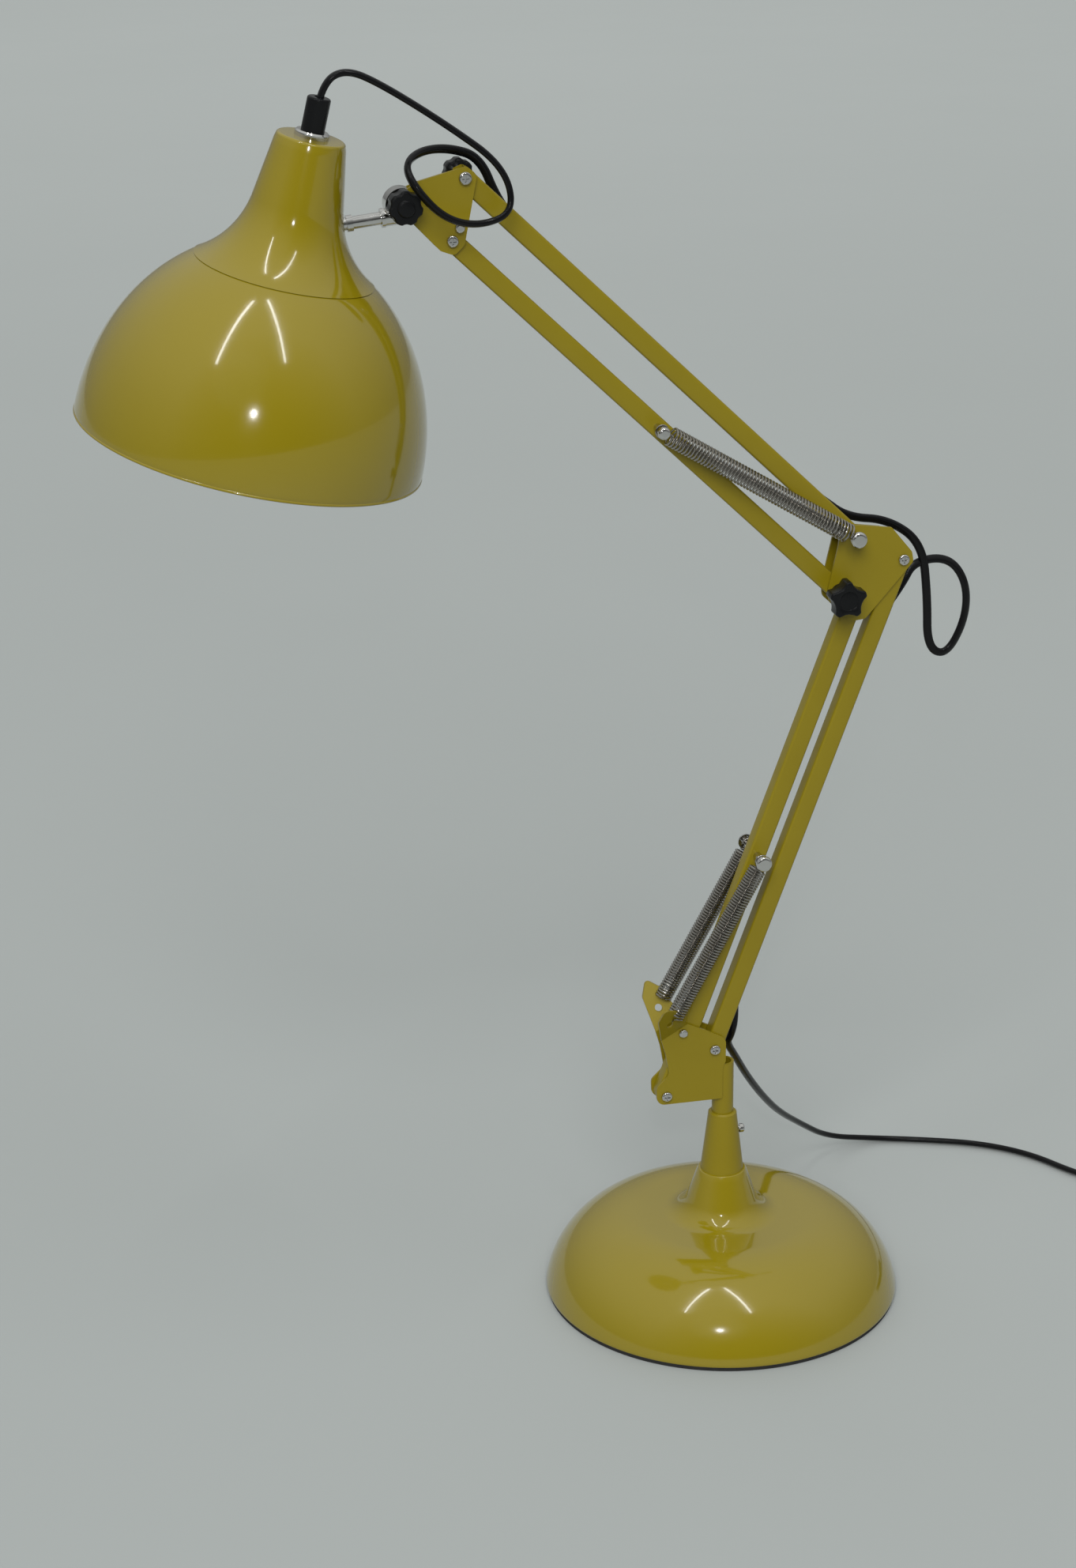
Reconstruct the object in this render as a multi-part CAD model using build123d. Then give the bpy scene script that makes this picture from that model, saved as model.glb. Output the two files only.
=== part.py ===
from build123d import *
import math
import os

# Adjustable desk lamp: round weighted base, two sprung parallel arms, bell shade.
# Millimetres, +Z up, base centre on the floor at the origin. The arms lie in the
# XZ plane, the shade is on the -X side and the front of the lamp is -Y.

os.makedirs("parts", exist_ok=True)

# Base
PAD_THICK = 2.0
PAD_INSET = 1.0
DOME_RADIUS = 53.2
DOME_CENTRE_R = 47.0
DOME_CENTRE_Z = -7.0
NECK_RADIUS = 13.4
NECK_SLOPE = 70.0
NECK_TOP_Z = 73.3
FLARE_R = 14.0
SHELL_WALL = 2.0
WEIGHT_RADIUS = 86.0
WEIGHT_THICK = 14.0
BASE_BOLT_R = 4.0
BASE_BOLT_HEAD_R = 7.5
BASE_BOLT_HEAD = 6.0
CONE_FOOT_R = 12.0
CONE_TOP_R = 7.8
CONE_HEIGHT = 35.2
CONE_FLOOR = 6.2
SPIGOT_LENGTH = 8.0
LOCK_SCREW_Z = 96.0
LOCK_SCREW_R = 1.5
LOCK_HEAD_R = 2.5
LOCK_HEAD = 2.8

# Sheet brackets and square tube bars
SHEET = 1.4
BAR_WIDE = 10.0
BAR_DEEP = 9.6
BAR_WALL = 1.0
SIDE_GAP = 0.3
SPINE_R = 6.0
SPINE_WALL = 1.4
SPINE_TOP_Z = 139.0
CHEEK_IN = BAR_DEEP / 2 + SIDE_GAP
CHEEK_OUT = CHEEK_IN + SHEET

# Fits
PIN_FIT = 0.05
SPINE_FIT = 0.05
LOOSE = 0.3
WIRE_GAP = 0.4

# Length of a cut that goes right through
THROUGH = 400.0

# Pivots of the lower bracket and lengths and directions of the two arms
PIVOT_A = (-34.0, 123.7)
PIVOT_B = (-6.7, 149.1)
LOWER_LENGTH = 291.4
LOWER_ANGLE = 69.77
ELBOW_P_FROM_B = (-28.55, 15.5)
ELBOW_Q_FROM_P = (-6.9, -30.6)
UPPER_LENGTH = 283.0
UPPER_ANGLE = 136.2

# Screws, bolts and knobs
SCREW_R = 2.0
SCREW_HEAD_R = 3.0
SCREW_HEAD = 2.0
RIVET_R = 1.6
NUT_R = 3.4
NUT_THICK = 2.4
BOLT_R = 2.5
KNOB_BOLT_R = 3.0
ELBOW_KNOB_R = 10.2
ELBOW_KNOB_HUB = 6.0
TILT_KNOB_R = 8.6
REAR_KNOB_R = 7.4
KNOB_THICK = 9.5
KNOB_EDGE = 1.0
KNOB_CROWN = 2.5
KNOB_HUB = 0.52
STAR_SCOOP = (1.6, 0.85)
SOFT_SCOOP = (1.35, 0.45)
BOLT_TIP = 1.5

# Springs: wire, coil and hooks
SPRING_WIRE_R = 0.55
LOWER_COIL_R = 4.35
UPPER_COIL_R = 4.8
SPRING_Y = 13.0
SPRING_PIN_R = 2.4
SPRING_PIN_END = 16.6
SPRING_PIN_HEAD_R = 4.4
SPRING_PIN_HEAD = 2.4
LOWER_TURNS = 32
UPPER_TURNS = 34
LOWER_PIN_ALONG = 146.4
UPPER_PIN_ALONG = 136.6
HOOK_LENGTH = 7.0
EAR_HOOK_LENGTH = 15.0

# Ear of the lower bracket, bent outward, with the hole that holds the spring
CHEEK_EDGE_X = -2.0
REAR_DROP = 2.4
EAR_HOLE = (-34.1, 169.6)
EAR_HOLE_R = 2.0
EAR_FOLD = (-29.0, 163.0)
EAR_FOLD_ANGLE = 30.0
EAR_BEND = 35.0

# Tilt joint, stub and shade
TILT_FROM_P = (-31.25, -11.9)
TILT_BLOCK_R = 8.3
TILT_LUG_R = 4.4
STUB_DROP = 5.6
STUB_SLOPE = 6.4
STUB_R = 3.2
STUB_BASE = 9.0
STUB_FLANGE_R = 4.8
STUB_FLANGE = 1.8
STUB_COLLAR_R = 4.1
STUB_NUT_R = 5.2
STUB_NUT = 3.0
NECK_GAP = 0.8
SHADE_FROM_T = (-53.57, -8.74)
SHADE_TILT = 12.83
SHADE_LEAN = 4.97
SHADE_SHEET = 1.0
NECK_TOP_H = 45.0
NECK_TOP_R = 17.3
NECK_MID_H = 12.0
NECK_MID_R = 22.8
SEAM_H = -21.3
SEAM_OVERHANG = 0.7
SEAM_LIP = 4.0
DOME_H = -111.2
DOME_SEMI_R = 88.5
DOME_SEMI_H = 104.0
BEAD_R = 1.1
NIPPLE_R = 4.5
GRIP_R = 5.85
GRIP_LENGTH = 16.5
GRIP_NUT_R = 8.6
GRIP_NUT = 3.0
HOLDER_R = 16.6
HOLDER_TOP_H = 33.0
HOLDER_END_H = -8.0
BULB_R = 30.0
BULB_CAP_R = 13.2
BULB_CENTRE_H = -64.0

# Mains cord, coil of spare cord and plug
CORD_R = 2.2
CORD_HOLE_R = 2.8
RUN_IN = 58.0
COIL_CENTRE = (292.0, 40.0)
COIL_OUTER_R = 34.0
COIL_INNER_R = 14.0
COIL_TURNS = 4
COIL_LOW_Z = 3.5
COIL_LAYER = 5.0
TIE_WIDE = 5.0
TIE_THICK = 0.8
PLUG_WIDE = 26.0
PLUG_HIGH = 13.7
PLUG_LENGTH = 34.0
PLUG_PIN_R = 2.0
PLUG_PIN_LENGTH = 19.0
PLUG_PIN_SPREAD = 9.3


def save(shape, name, color):
    """Label one piece and write it to its own file."""
    solid = shape.solids()[0] if len(shape.solids()) == 1 else shape
    solid.label = name
    solid.color = Color(*color)
    export_step(solid, f"parts/{name}.step")


def polar(start, length, angle):
    """Point in the XZ plane at a length and angle from a start point."""
    a = math.radians(angle)
    return (start[0] + length * math.cos(a), start[1] + length * math.sin(a))


def shifted(start, step):
    """Point in the XZ plane moved by a step."""
    return (start[0] + step[0], start[1] + step[1])


def bar_plane(pivot, angle):
    """Frame of a bar: X along the bar, Y across it, Z to the front."""
    a = math.radians(angle)
    return Plane(origin=(pivot[0], 0, pivot[1]), x_dir=(math.cos(a), 0, math.sin(a)), z_dir=(0, -1, 0))


def along_bar(pivot, angle, along, across, y):
    """World point given along and across a bar at a depth y."""
    a = math.radians(angle)
    x = pivot[0] + along * math.cos(a) - across * math.sin(a)
    z = pivot[1] + along * math.sin(a) + across * math.cos(a)
    return (x, y, z)


def pin(centre, radius, y_front, y_back):
    """Round pin along Y between two depths."""
    middle = (y_front + y_back) / 2
    return Pos(centre[0], middle, centre[1]) * Rot(90, 0, 0) * Cylinder(radius, y_back - y_front)


def plate(points, radii, y_front, y_back):
    """Flat piece with rounded corners drawn in the XZ plane."""
    outline = make_face(Polyline(*points, close=True))
    for point, radius in zip(points, radii):
        corner = outline.vertices().sort_by_distance(Vertex(point[0], point[1], 0))[0]
        outline = fillet(corner, radius)
    return extrude(Plane.XZ.offset(-y_back) * outline, amount=y_back - y_front)


def bar(pivot, length, angle):
    """Square tube with round ends and a pivot hole near each end."""
    frame = bar_plane(pivot, angle)
    body = extrude(Pos(length / 2, 0) * SlotCenterToCenter(length, BAR_WIDE), BAR_DEEP / 2, both=True)
    inside_wide = BAR_WIDE - 2 * BAR_WALL
    inside_deep = BAR_DEEP - 2 * BAR_WALL
    body -= Pos(length / 2, 0, 0) * Box(length + 2 * BAR_WIDE, inside_wide, inside_deep)
    return frame * body


def pivot_screw(centre, radius, head_r, y_nut):
    """Cross-head screw from the front with a nut at the back."""
    front = -CHEEK_OUT
    head = Cylinder(head_r, SCREW_HEAD, align=(Align.CENTER, Align.CENTER, Align.MIN))
    head = fillet(head.edges().filter_by(GeomType.CIRCLE).sort_by(Axis.Z)[-1], SCREW_HEAD * 0.6)
    for turn in (0, 90):
        head -= Pos(0, 0, SCREW_HEAD) * Rot(0, 0, turn) * Box(head_r * 1.1, head_r * 0.25, SCREW_HEAD)
    frame = Plane(origin=(centre[0], front, centre[1]), x_dir=(1, 0, 0), z_dir=(0, -1, 0))
    nut = extrude(RegularPolygon(NUT_R * radius / SCREW_R, 6), -NUT_THICK)
    nut_frame = Plane(origin=(centre[0], y_nut, centre[1]), x_dir=(1, 0, 0), z_dir=(0, -1, 0))
    return frame * head + pin(centre, radius, front, y_nut + NUT_THICK) + nut_frame * nut


def rivet(centre, radius, head_r):
    """Short round-head rivet through the front cheek only."""
    head = Cylinder(head_r, SCREW_HEAD, align=(Align.CENTER, Align.CENTER, Align.MIN))
    head = fillet(head.edges().filter_by(GeomType.CIRCLE).sort_by(Axis.Z)[-1], SCREW_HEAD * 0.6)
    frame = Plane(origin=(centre[0], -CHEEK_OUT, centre[1]), x_dir=(1, 0, 0), z_dir=(0, -1, 0))
    return frame * head + pin(centre, radius, -CHEEK_OUT, -CHEEK_IN)


def hand_knob(centre, radius, bore_r, y_face, out, lobes, scoop, hub):
    """Hand knob on a bolt end: hub, then a disc scooped between its lobes; out is -1 for the front, 1 for the back.

    The scoop is the place and radius of the round cuts, as shares of the knob radius.
    """
    scoop_at, scoop_r = scoop
    outline = Circle(radius)
    for index in range(lobes):
        turn = 90 + 360 * (index + 0.5) / lobes
        outline -= PolarLocations(radius * scoop_at, 1, start_angle=turn) * Circle(radius * scoop_r)
    body = extrude(outline, KNOB_THICK)
    body = fillet(body.faces().sort_by(Axis.Z)[-1].edges(), KNOB_EDGE)
    if hub > 0:
        body = Pos(0, 0, hub) * body
        body += Cylinder(radius * KNOB_HUB, hub, align=(Align.CENTER, Align.CENTER, Align.MIN))
    body -= Cylinder(bore_r, hub + KNOB_THICK - KNOB_CROWN, align=(Align.CENTER, Align.CENTER, Align.MIN))
    frame = Plane(origin=(centre[0], y_face, centre[1]), x_dir=(1, 0, 0), z_dir=(0, out, 0))
    return frame * body


def cord_radii(points):
    """Bend radius at each inner corner, set by the shorter run beside it."""
    radii = []
    for before, here, after in zip(points, points[1:], points[2:]):
        run_in = Vector(here) - Vector(before)
        run_out = Vector(after) - Vector(here)
        turn = math.radians(run_in.get_angle(run_out))
        shorter = min(run_in.length, run_out.length)
        radii.append(0.45 * shorter / math.tan(turn / 2))
    return radii


def cord_tube(points, radius):
    """Round tube along straight runs joined by tangent arcs."""
    path = FilletPolyline(*points, radius=cord_radii(points))
    start = Vector(points[1]) - Vector(points[0])
    section = Plane(origin=points[0], z_dir=start) * Circle(radius)
    return sweep(section, path=path)


def biarc(first, first_dir, last, last_dir):
    """Two tangent arcs that join two points and leave them in set directions."""
    p0, t0, p1, t1 = Vector(first), Vector(first_dir).normalized(), Vector(last), Vector(last_dir).normalized()
    gap = p1 - p0
    both = t0 + t1
    k = 2 * (1 - t0.dot(t1))
    b = gap.dot(both)
    reach = (-b + math.sqrt(b * b + k * gap.dot(gap))) / k if k > 1e-9 else gap.dot(gap) / (2 * b)
    middle = (p0 + p1 + (t0 - t1) * reach) * 0.5
    between = (p1 - t1 * reach) - (p0 + t0 * reach)
    if Vector(gap).cross(t0).length < 1e-6 * gap.length:
        return [Edge.make_line(p0, p1)]
    return [Edge.make_tangent_arc(p0, t0, middle), Edge.make_tangent_arc(middle, between, p1)]


def wound_tube(stations, radius):
    """Tube along biarcs through points with directions; stations are (point, direction)."""
    edges = []
    for (p0, t0), (p1, t1) in zip(stations, stations[1:]):
        edges += biarc(p0, t0, p1, t1)
    path = Wire(edges)
    section = Plane(origin=stations[0][0], z_dir=stations[0][1]) * Circle(radius)
    return sweep(section, path=path)


def hook_stations(end, axis, side, pin_r):
    """C-shaped hook round a pin: from the coil side, round the far side of the pin and back."""
    swing = pin_r + SPRING_WIRE_R + LOOSE
    near = end - axis * (HOOK_LENGTH * 0.45)
    tail = end - side * swing - axis * (SPRING_WIRE_R * 2)
    return [
        (near + side * swing, axis),
        (end + side * swing, axis),
        (end + axis * swing, side * -1),
        (end - side * swing, axis * -1),
        (tail, axis * -1),
    ]


def coil_stations(start, axis, side, length, turns, coil_r):
    """Stations of a helix every half turn, from the side direction round the axis."""
    out = axis.cross(side)
    stations = []
    for step in range(2 * turns + 1):
        angle = math.pi * step
        radial = side * math.cos(angle) + out * math.sin(angle)
        around = out * math.cos(angle) - side * math.sin(angle)
        point = start + axis * (length * step / (2 * turns)) + radial * coil_r
        rise = length / turns / (2 * math.pi * coil_r)
        stations.append((point, around + axis * rise))
    return stations


def reversed_stations(stations):
    """The same stations run the other way."""
    return [(point, Vector(direction) * -1) for point, direction in reversed(stations)]


def spring_between(start_hook, start, end, side, turns, lead, coil_r):
    """Spring tube: hook, coil, hook round the end pin; prints its least gap to itself."""
    axis = (end - start).normalized()
    coil_start = start + axis * lead
    coil_length = (end - start).length - lead - HOOK_LENGTH
    coil = coil_stations(coil_start, axis, side, coil_length, turns, coil_r)
    tail = hook_stations(end, axis, side, SPRING_PIN_R)
    pitch = coil_length / turns
    print("spring gap between curls", round(pitch - 2 * SPRING_WIRE_R, 2))
    return wound_tube(start_hook + coil + tail, SPRING_WIRE_R)


# Derived pivots
LEFT_TOP = polar(PIVOT_A, LOWER_LENGTH, LOWER_ANGLE)
RIGHT_TOP = polar(PIVOT_B, LOWER_LENGTH, LOWER_ANGLE)
ELBOW_P = shifted(RIGHT_TOP, ELBOW_P_FROM_B)
ELBOW_Q = shifted(ELBOW_P, ELBOW_Q_FROM_P)
HEAD_P = polar(ELBOW_P, UPPER_LENGTH, UPPER_ANGLE)
HEAD_Q = polar(ELBOW_Q, UPPER_LENGTH, UPPER_ANGLE)
TILT = shifted(HEAD_P, TILT_FROM_P)
LOWER_PIN = polar(PIVOT_A, LOWER_PIN_ALONG, LOWER_ANGLE)
UPPER_PIN = polar(ELBOW_Q, UPPER_PIN_ALONG, UPPER_ANGLE)

YELLOW = (0.55, 0.47, 0.05)
CHROME = (0.8, 0.8, 0.8)
BLACK = (0.03, 0.03, 0.03)
IRON = (0.25, 0.25, 0.25)
WHITE = (0.95, 0.95, 0.93)

# Base shell: round shoulder, level top, then a fillet into a steep tapered neck
RIM_Z = PAD_THICK
CREST_Z = DOME_CENTRE_Z + DOME_RADIUS
neck_lean = math.radians(NECK_SLOPE)
flare_z = CREST_Z + FLARE_R
neck_run = (NECK_TOP_Z + FLARE_R * math.cos(neck_lean) - flare_z) / math.sin(neck_lean)
flare_centre_r = NECK_RADIUS + neck_run * math.cos(neck_lean) + FLARE_R * math.sin(neck_lean)


def base_profile(wall):
    """Side line of the base shell from rim to neck, set in from the outside by the wall."""
    dome_r = DOME_RADIUS - wall
    flare_r = FLARE_R + wall
    crest_z = CREST_Z - wall
    rim_r = DOME_CENTRE_R + math.sqrt(dome_r**2 - (RIM_Z - DOME_CENTRE_Z) ** 2)
    top_r = NECK_RADIUS - wall / math.sin(neck_lean)
    crest = (DOME_CENTRE_R, crest_z)
    flare_start = (flare_centre_r, crest_z)
    low, high = 1.5 * math.pi, 1.5 * math.pi - neck_lean
    middle = (low + high) / 2
    flare_mid = (flare_centre_r + flare_r * math.cos(middle), flare_z + flare_r * math.sin(middle))
    flare_end = (flare_centre_r + flare_r * math.cos(high), flare_z + flare_r * math.sin(high))
    dome_mid = math.atan2(RIM_Z - DOME_CENTRE_Z, rim_r - DOME_CENTRE_R) / 2 + math.pi / 4
    dome_point = (DOME_CENTRE_R + dome_r * math.cos(dome_mid), DOME_CENTRE_Z + dome_r * math.sin(dome_mid))
    dome = ThreePointArc((rim_r, RIM_Z), dome_point, crest)
    level = Line(crest, flare_start)
    flare = ThreePointArc(flare_start, flare_mid, flare_end)
    neck = Line(flare_end, (top_r, NECK_TOP_Z))
    return [dome, level, flare, neck], rim_r, top_r


outer_side, outer_rim, outer_top = base_profile(0.0)
inner_side, inner_rim, inner_top = base_profile(SHELL_WALL)
top_edge = Line((outer_top, NECK_TOP_Z), (inner_top, NECK_TOP_Z))
foot_edge = Line((inner_rim, RIM_Z), (outer_rim, RIM_Z))
shell_face = make_face(outer_side + [top_edge] + inner_side + [foot_edge])
base_shell = revolve(Plane.XZ * shell_face, Axis.Z)
save(base_shell, "base_shell", YELLOW)

base_pad = Cylinder(outer_rim - PAD_INSET, PAD_THICK, align=(Align.CENTER, Align.CENTER, Align.MIN))
save(base_pad, "base_pad", BLACK)

base_weight = Pos(0, 0, PAD_THICK) * Cylinder(WEIGHT_RADIUS, WEIGHT_THICK, align=(Align.CENTER, Align.CENTER, Align.MIN))
counterbore = Cylinder(BASE_BOLT_HEAD_R + 1.0, BASE_BOLT_HEAD + 0.4, align=(Align.CENTER, Align.CENTER, Align.MIN))
base_weight -= Pos(0, 0, PAD_THICK) * counterbore
base_weight -= Cylinder(BASE_BOLT_R + LOOSE, THROUGH)
save(base_weight, "base_weight", IRON)

CONE_TOP_Z = NECK_TOP_Z + CONE_HEIGHT
CONE_BORE_Z = NECK_TOP_Z + CONE_FLOOR
bolt_top = CONE_BORE_Z - 1.0
bolt_head_z = PAD_THICK + 0.4
base_bolt = Pos(0, 0, bolt_head_z) * extrude(RegularPolygon(BASE_BOLT_HEAD_R, 6), BASE_BOLT_HEAD)
bolt_length = bolt_top - bolt_head_z
bolt_shank = Cylinder(BASE_BOLT_R, bolt_length, align=(Align.CENTER, Align.CENTER, Align.MIN))
base_bolt += Pos(0, 0, bolt_head_z) * bolt_shank
save(base_bolt, "base_bolt", CHROME)

cone = Pos(0, 0, NECK_TOP_Z) * Cone(CONE_FOOT_R, CONE_TOP_R, CONE_HEIGHT, align=(Align.CENTER, Align.CENTER, Align.MIN))
cone = chamfer(cone.edges().sort_by(Axis.Z)[-1], 0.8)
spigot = Cylinder(inner_top - LOOSE, SPIGOT_LENGTH, align=(Align.CENTER, Align.CENTER, Align.MAX))
cone += Pos(0, 0, NECK_TOP_Z) * spigot
bore = Cylinder(SPINE_R + SPINE_FIT, CONE_HEIGHT, align=(Align.CENTER, Align.CENTER, Align.MIN))
cone -= Pos(0, 0, CONE_BORE_Z) * bore
cone -= Pos(0, 0, CONE_BORE_Z - 0.5) * Cylinder(BASE_BOLT_R + PIN_FIT, THROUGH)
lock_hole = Cylinder(LOCK_SCREW_R + PIN_FIT, CONE_FOOT_R, align=(Align.CENTER, Align.CENTER, Align.MIN))
cone -= Pos(0, 0, LOCK_SCREW_Z) * Rot(0, 90, 0) * lock_hole
save(cone, "socket_cone", YELLOW)

cone_r_there = CONE_FOOT_R + (CONE_TOP_R - CONE_FOOT_R) * (LOCK_SCREW_Z - NECK_TOP_Z) / CONE_HEIGHT
lock_start = SPINE_R + LOOSE
lock_head_x = cone_r_there + 0.6
lock_shank = Cylinder(LOCK_SCREW_R, lock_head_x - lock_start, align=(Align.CENTER, Align.CENTER, Align.MIN))
lock_head = Cylinder(LOCK_HEAD_R, LOCK_HEAD, align=(Align.CENTER, Align.CENTER, Align.MIN))
lock_head = fillet(lock_head.edges().filter_by(GeomType.CIRCLE).sort_by(Axis.Z)[-1], 1.2)
lock_screw = Pos(lock_start, 0, LOCK_SCREW_Z) * Rot(0, 90, 0) * lock_shank
lock_screw += Pos(lock_head_x, 0, LOCK_SCREW_Z) * Rot(0, 90, 0) * lock_head
save(lock_screw, "cone_lock_screw", CHROME)

# Lower bracket: two cheeks with bent ears, and the spine tube that turns in the cone
A_X, A_Z = PIVOT_A
B_X, B_Z = PIVOT_B
lower_points = [
    (A_X - 5.4, A_Z - 4.9),
    (CHEEK_EDGE_X, A_Z - 4.9),
    (CHEEK_EDGE_X, B_Z - 12.0),
    (B_X + 6.4, B_Z - 7.6),
    (B_X + 6.4, B_Z + 6.2),
    (B_X - 5.0, B_Z + 12.2),
    (B_X - 16.5, B_Z + 17.6),
    (EAR_HOLE[0] + 3.4, EAR_HOLE[1] + 9.4),
    (EAR_HOLE[0] - 5.0, EAR_HOLE[1] + 13.4),
    (EAR_HOLE[0] - 7.8, EAR_HOLE[1] + 4.4),
    (A_X - 0.8, B_Z + 0.4),
    (A_X + 1.6, A_Z + 12.6),
    (A_X - 5.8, A_Z + 5.4),
]
lower_radii = [4.6, 1.0, 2.0, 2.0, 5.5, 2.0, 4.0, 2.5, 2.5, 2.5, 12.0, 6.0, 4.0]
fold_dir = Vector(math.cos(math.radians(EAR_FOLD_ANGLE)), 0, math.sin(math.radians(EAR_FOLD_ANGLE)))
fold_up = Vector(-fold_dir.Z, 0, fold_dir.X)
bend = math.radians(EAR_BEND)
ear_up = fold_up * math.cos(bend) + Vector(0, -1, 0) * math.sin(bend)
ear_normal = fold_dir.cross(ear_up)
ear_frame = Plane(origin=(EAR_FOLD[0], -CHEEK_IN, EAR_FOLD[1]), x_dir=fold_dir, z_dir=ear_normal)
flat_frame = Plane(origin=(EAR_FOLD[0], -CHEEK_IN, EAR_FOLD[1]), x_dir=fold_dir, z_dir=(0, -1, 0))
from_fold = (Align.CENTER, Align.MIN, Align.MIN)
ear_slab = ear_frame * Box(60, 40, SHEET, align=from_fold)
above_fold = flat_frame * Pos(0, 0, -1) * Box(60, 40, SHEET + 2, align=from_fold)
cheek = plate(lower_points, lower_radii, -CHEEK_OUT, -CHEEK_IN) - above_fold
cheek += plate(lower_points, lower_radii, -40, -CHEEK_IN + 1) & ear_slab
for centre in (PIVOT_A, PIVOT_B):
    cheek -= pin(centre, SCREW_R + PIN_FIT, -THROUGH, 0)
cheek -= pin(EAR_HOLE, EAR_HOLE_R, -THROUGH, 0)
STOP_HOLE = (B_X - 18.2, B_Z + 12.0)
cheek -= Pos(0, 0, SPINE_TOP_Z) * Cylinder(SPINE_R - SPINE_WALL, 90)
rear_cheek = mirror(cheek, about=Plane.XZ)
cheek -= pin(STOP_HOLE, RIVET_R + PIN_FIT, -THROUGH, 0)

spine_low = CONE_BORE_Z + 0.3
spine_height = SPINE_TOP_Z - spine_low
spine = Cylinder(SPINE_R, spine_height, align=(Align.CENTER, Align.CENTER, Align.MIN))
spine -= Cylinder(SPINE_R - SPINE_WALL, spine_height, align=(Align.CENTER, Align.CENTER, Align.MIN))
lower_bracket = Pos(0, 0, spine_low) * spine + cheek + rear_cheek
save(lower_bracket, "lower_bracket", YELLOW)

save(pivot_screw(PIVOT_A, SCREW_R, SCREW_HEAD_R, CHEEK_OUT), "lower_screw_a", CHROME)
save(pivot_screw(PIVOT_B, SCREW_R, SCREW_HEAD_R, CHEEK_OUT), "lower_screw_b", CHROME)
save(rivet(STOP_HOLE, RIVET_R, SCREW_HEAD_R * 0.85), "lower_rivet", CHROME)

# Cord routes. Each loop dives into the square tube beside it and ends on its centre line.
HEAD_X, HEAD_Z = HEAD_P
LOWER_DOWN = LOWER_ANGLE + 180
UPPER_BACK = UPPER_ANGLE + 180
T_X, T_Z = TILT


def from_head(dx, y, dz):
    """Point given from the upper pivot of the head bracket."""
    return (HEAD_X + dx, y, HEAD_Z + dz)


def from_elbow(dx, y, dz):
    """Point given from the right pivot of the elbow."""
    return (RIGHT_TOP[0] + dx, y, RIGHT_TOP[1] + dz)


def from_foot(dx, y, dz):
    """Point given from the right pivot of the lower bracket."""
    return (B_X + dx, y, B_Z + dz)


# Shade frame: origin N on its axis, tilted in the arm plane, then leaned about the stub
SHADE_N = shifted(TILT, SHADE_FROM_T)
slope = math.radians(STUB_SLOPE)
stub_dir = Vector(-math.cos(slope), 0, -math.sin(slope))
stub_foot = Vector(T_X + STUB_DROP * math.sin(slope), 0, T_Z - STUB_DROP * math.cos(slope))
stub_axis = Axis((stub_foot.X, stub_foot.Y, stub_foot.Z), (-stub_dir.X, 0, -stub_dir.Z))
shade_home = Pos(SHADE_N[0], 0, SHADE_N[1]) * Rot(0, SHADE_TILT, 0)


def shade_piece(local):
    """Put a piece made round the shade axis in its place."""
    return (shade_home * local).rotate(stub_axis, SHADE_LEAN)


def shade_point(r, h):
    """World point on the shade axis side, at a radius and height of the shade frame."""
    tilt = math.radians(SHADE_TILT)
    x = SHADE_N[0] + r * math.cos(tilt) + h * math.sin(tilt) - stub_foot.X
    z = SHADE_N[1] - r * math.sin(tilt) + h * math.cos(tilt) - stub_foot.Z
    along = x * stub_dir.X + z * stub_dir.Z
    above = z * -stub_dir.X + x * stub_dir.Z
    lean = math.radians(SHADE_LEAN)
    up = Vector(stub_dir.Z, 0, -stub_dir.X)
    lifted = up * (above * math.cos(lean)) + Vector(0, -above * math.sin(lean), 0)
    return stub_foot + stub_dir * along + lifted


grip_top_h = NECK_TOP_H + GRIP_NUT + GRIP_LENGTH
head_start = shade_point(0, grip_top_h - 7.0)
head_out = shade_point(0, grip_top_h + 7.0)
head_points = [
    (head_start.X, head_start.Y, head_start.Z),
    (head_out.X, head_out.Y, head_out.Z),
    from_head(-57.5, -6.0, 54.8),
    from_head(-41.0, -7.0, 47.4),
    from_head(-9.0, -9.5, 26.6),
    from_head(18.0, -14.0, 6.4),
    from_head(22.6, -16.8, -15.8),
    from_head(5.0, -18.5, -21.8),
    from_head(-13.4, -20.5, -17.0),
    from_head(-28.0, -22.0, -1.0),
    from_head(-31.2, -12.5, 9.0),
    from_head(-20.6, 0.0, 13.4),
    from_head(-5.0, 8.5, 12.8),
    from_head(11.5, 12.0, 7.0),
    along_bar(HEAD_P, UPPER_BACK, 24.0, 3.0, 9.0),
    along_bar(HEAD_P, UPPER_BACK, 44.0, 0.0, 0.0),
    along_bar(HEAD_P, UPPER_BACK, RUN_IN, 0.0, 0.0),
]
elbow_points = [
    along_bar(ELBOW_P, UPPER_ANGLE, RUN_IN, 0.0, 0.0),
    along_bar(ELBOW_P, UPPER_ANGLE, 42.0, 0.0, 0.0),
    along_bar(ELBOW_P, UPPER_ANGLE, 22.0, -3.0, 9.0),
    from_elbow(-26.0, 11.8, 20.0),
    from_elbow(-3.0, 11.5, 17.4),
    from_elbow(15.6, 8.6, 3.6),
    from_elbow(19.2, 7.8, -26.6),
    from_elbow(20.0, 7.8, -54.6),
    from_elbow(31.2, 7.8, -60.4),
    from_elbow(41.6, 8.2, -40.2),
    from_elbow(41.8, 9.5, -20.0),
    from_elbow(31.4, 10.8, -5.6),
    from_elbow(11.4, 9.8, -6.4),
    from_elbow(3.0, 3.8, -17.0),
    along_bar(RIGHT_TOP, LOWER_DOWN, 38.0, 0.0, 0.0),
    along_bar(RIGHT_TOP, LOWER_DOWN, RUN_IN, 0.0, 0.0),
]
FLOOR_Z = CORD_R + 0.3
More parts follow.
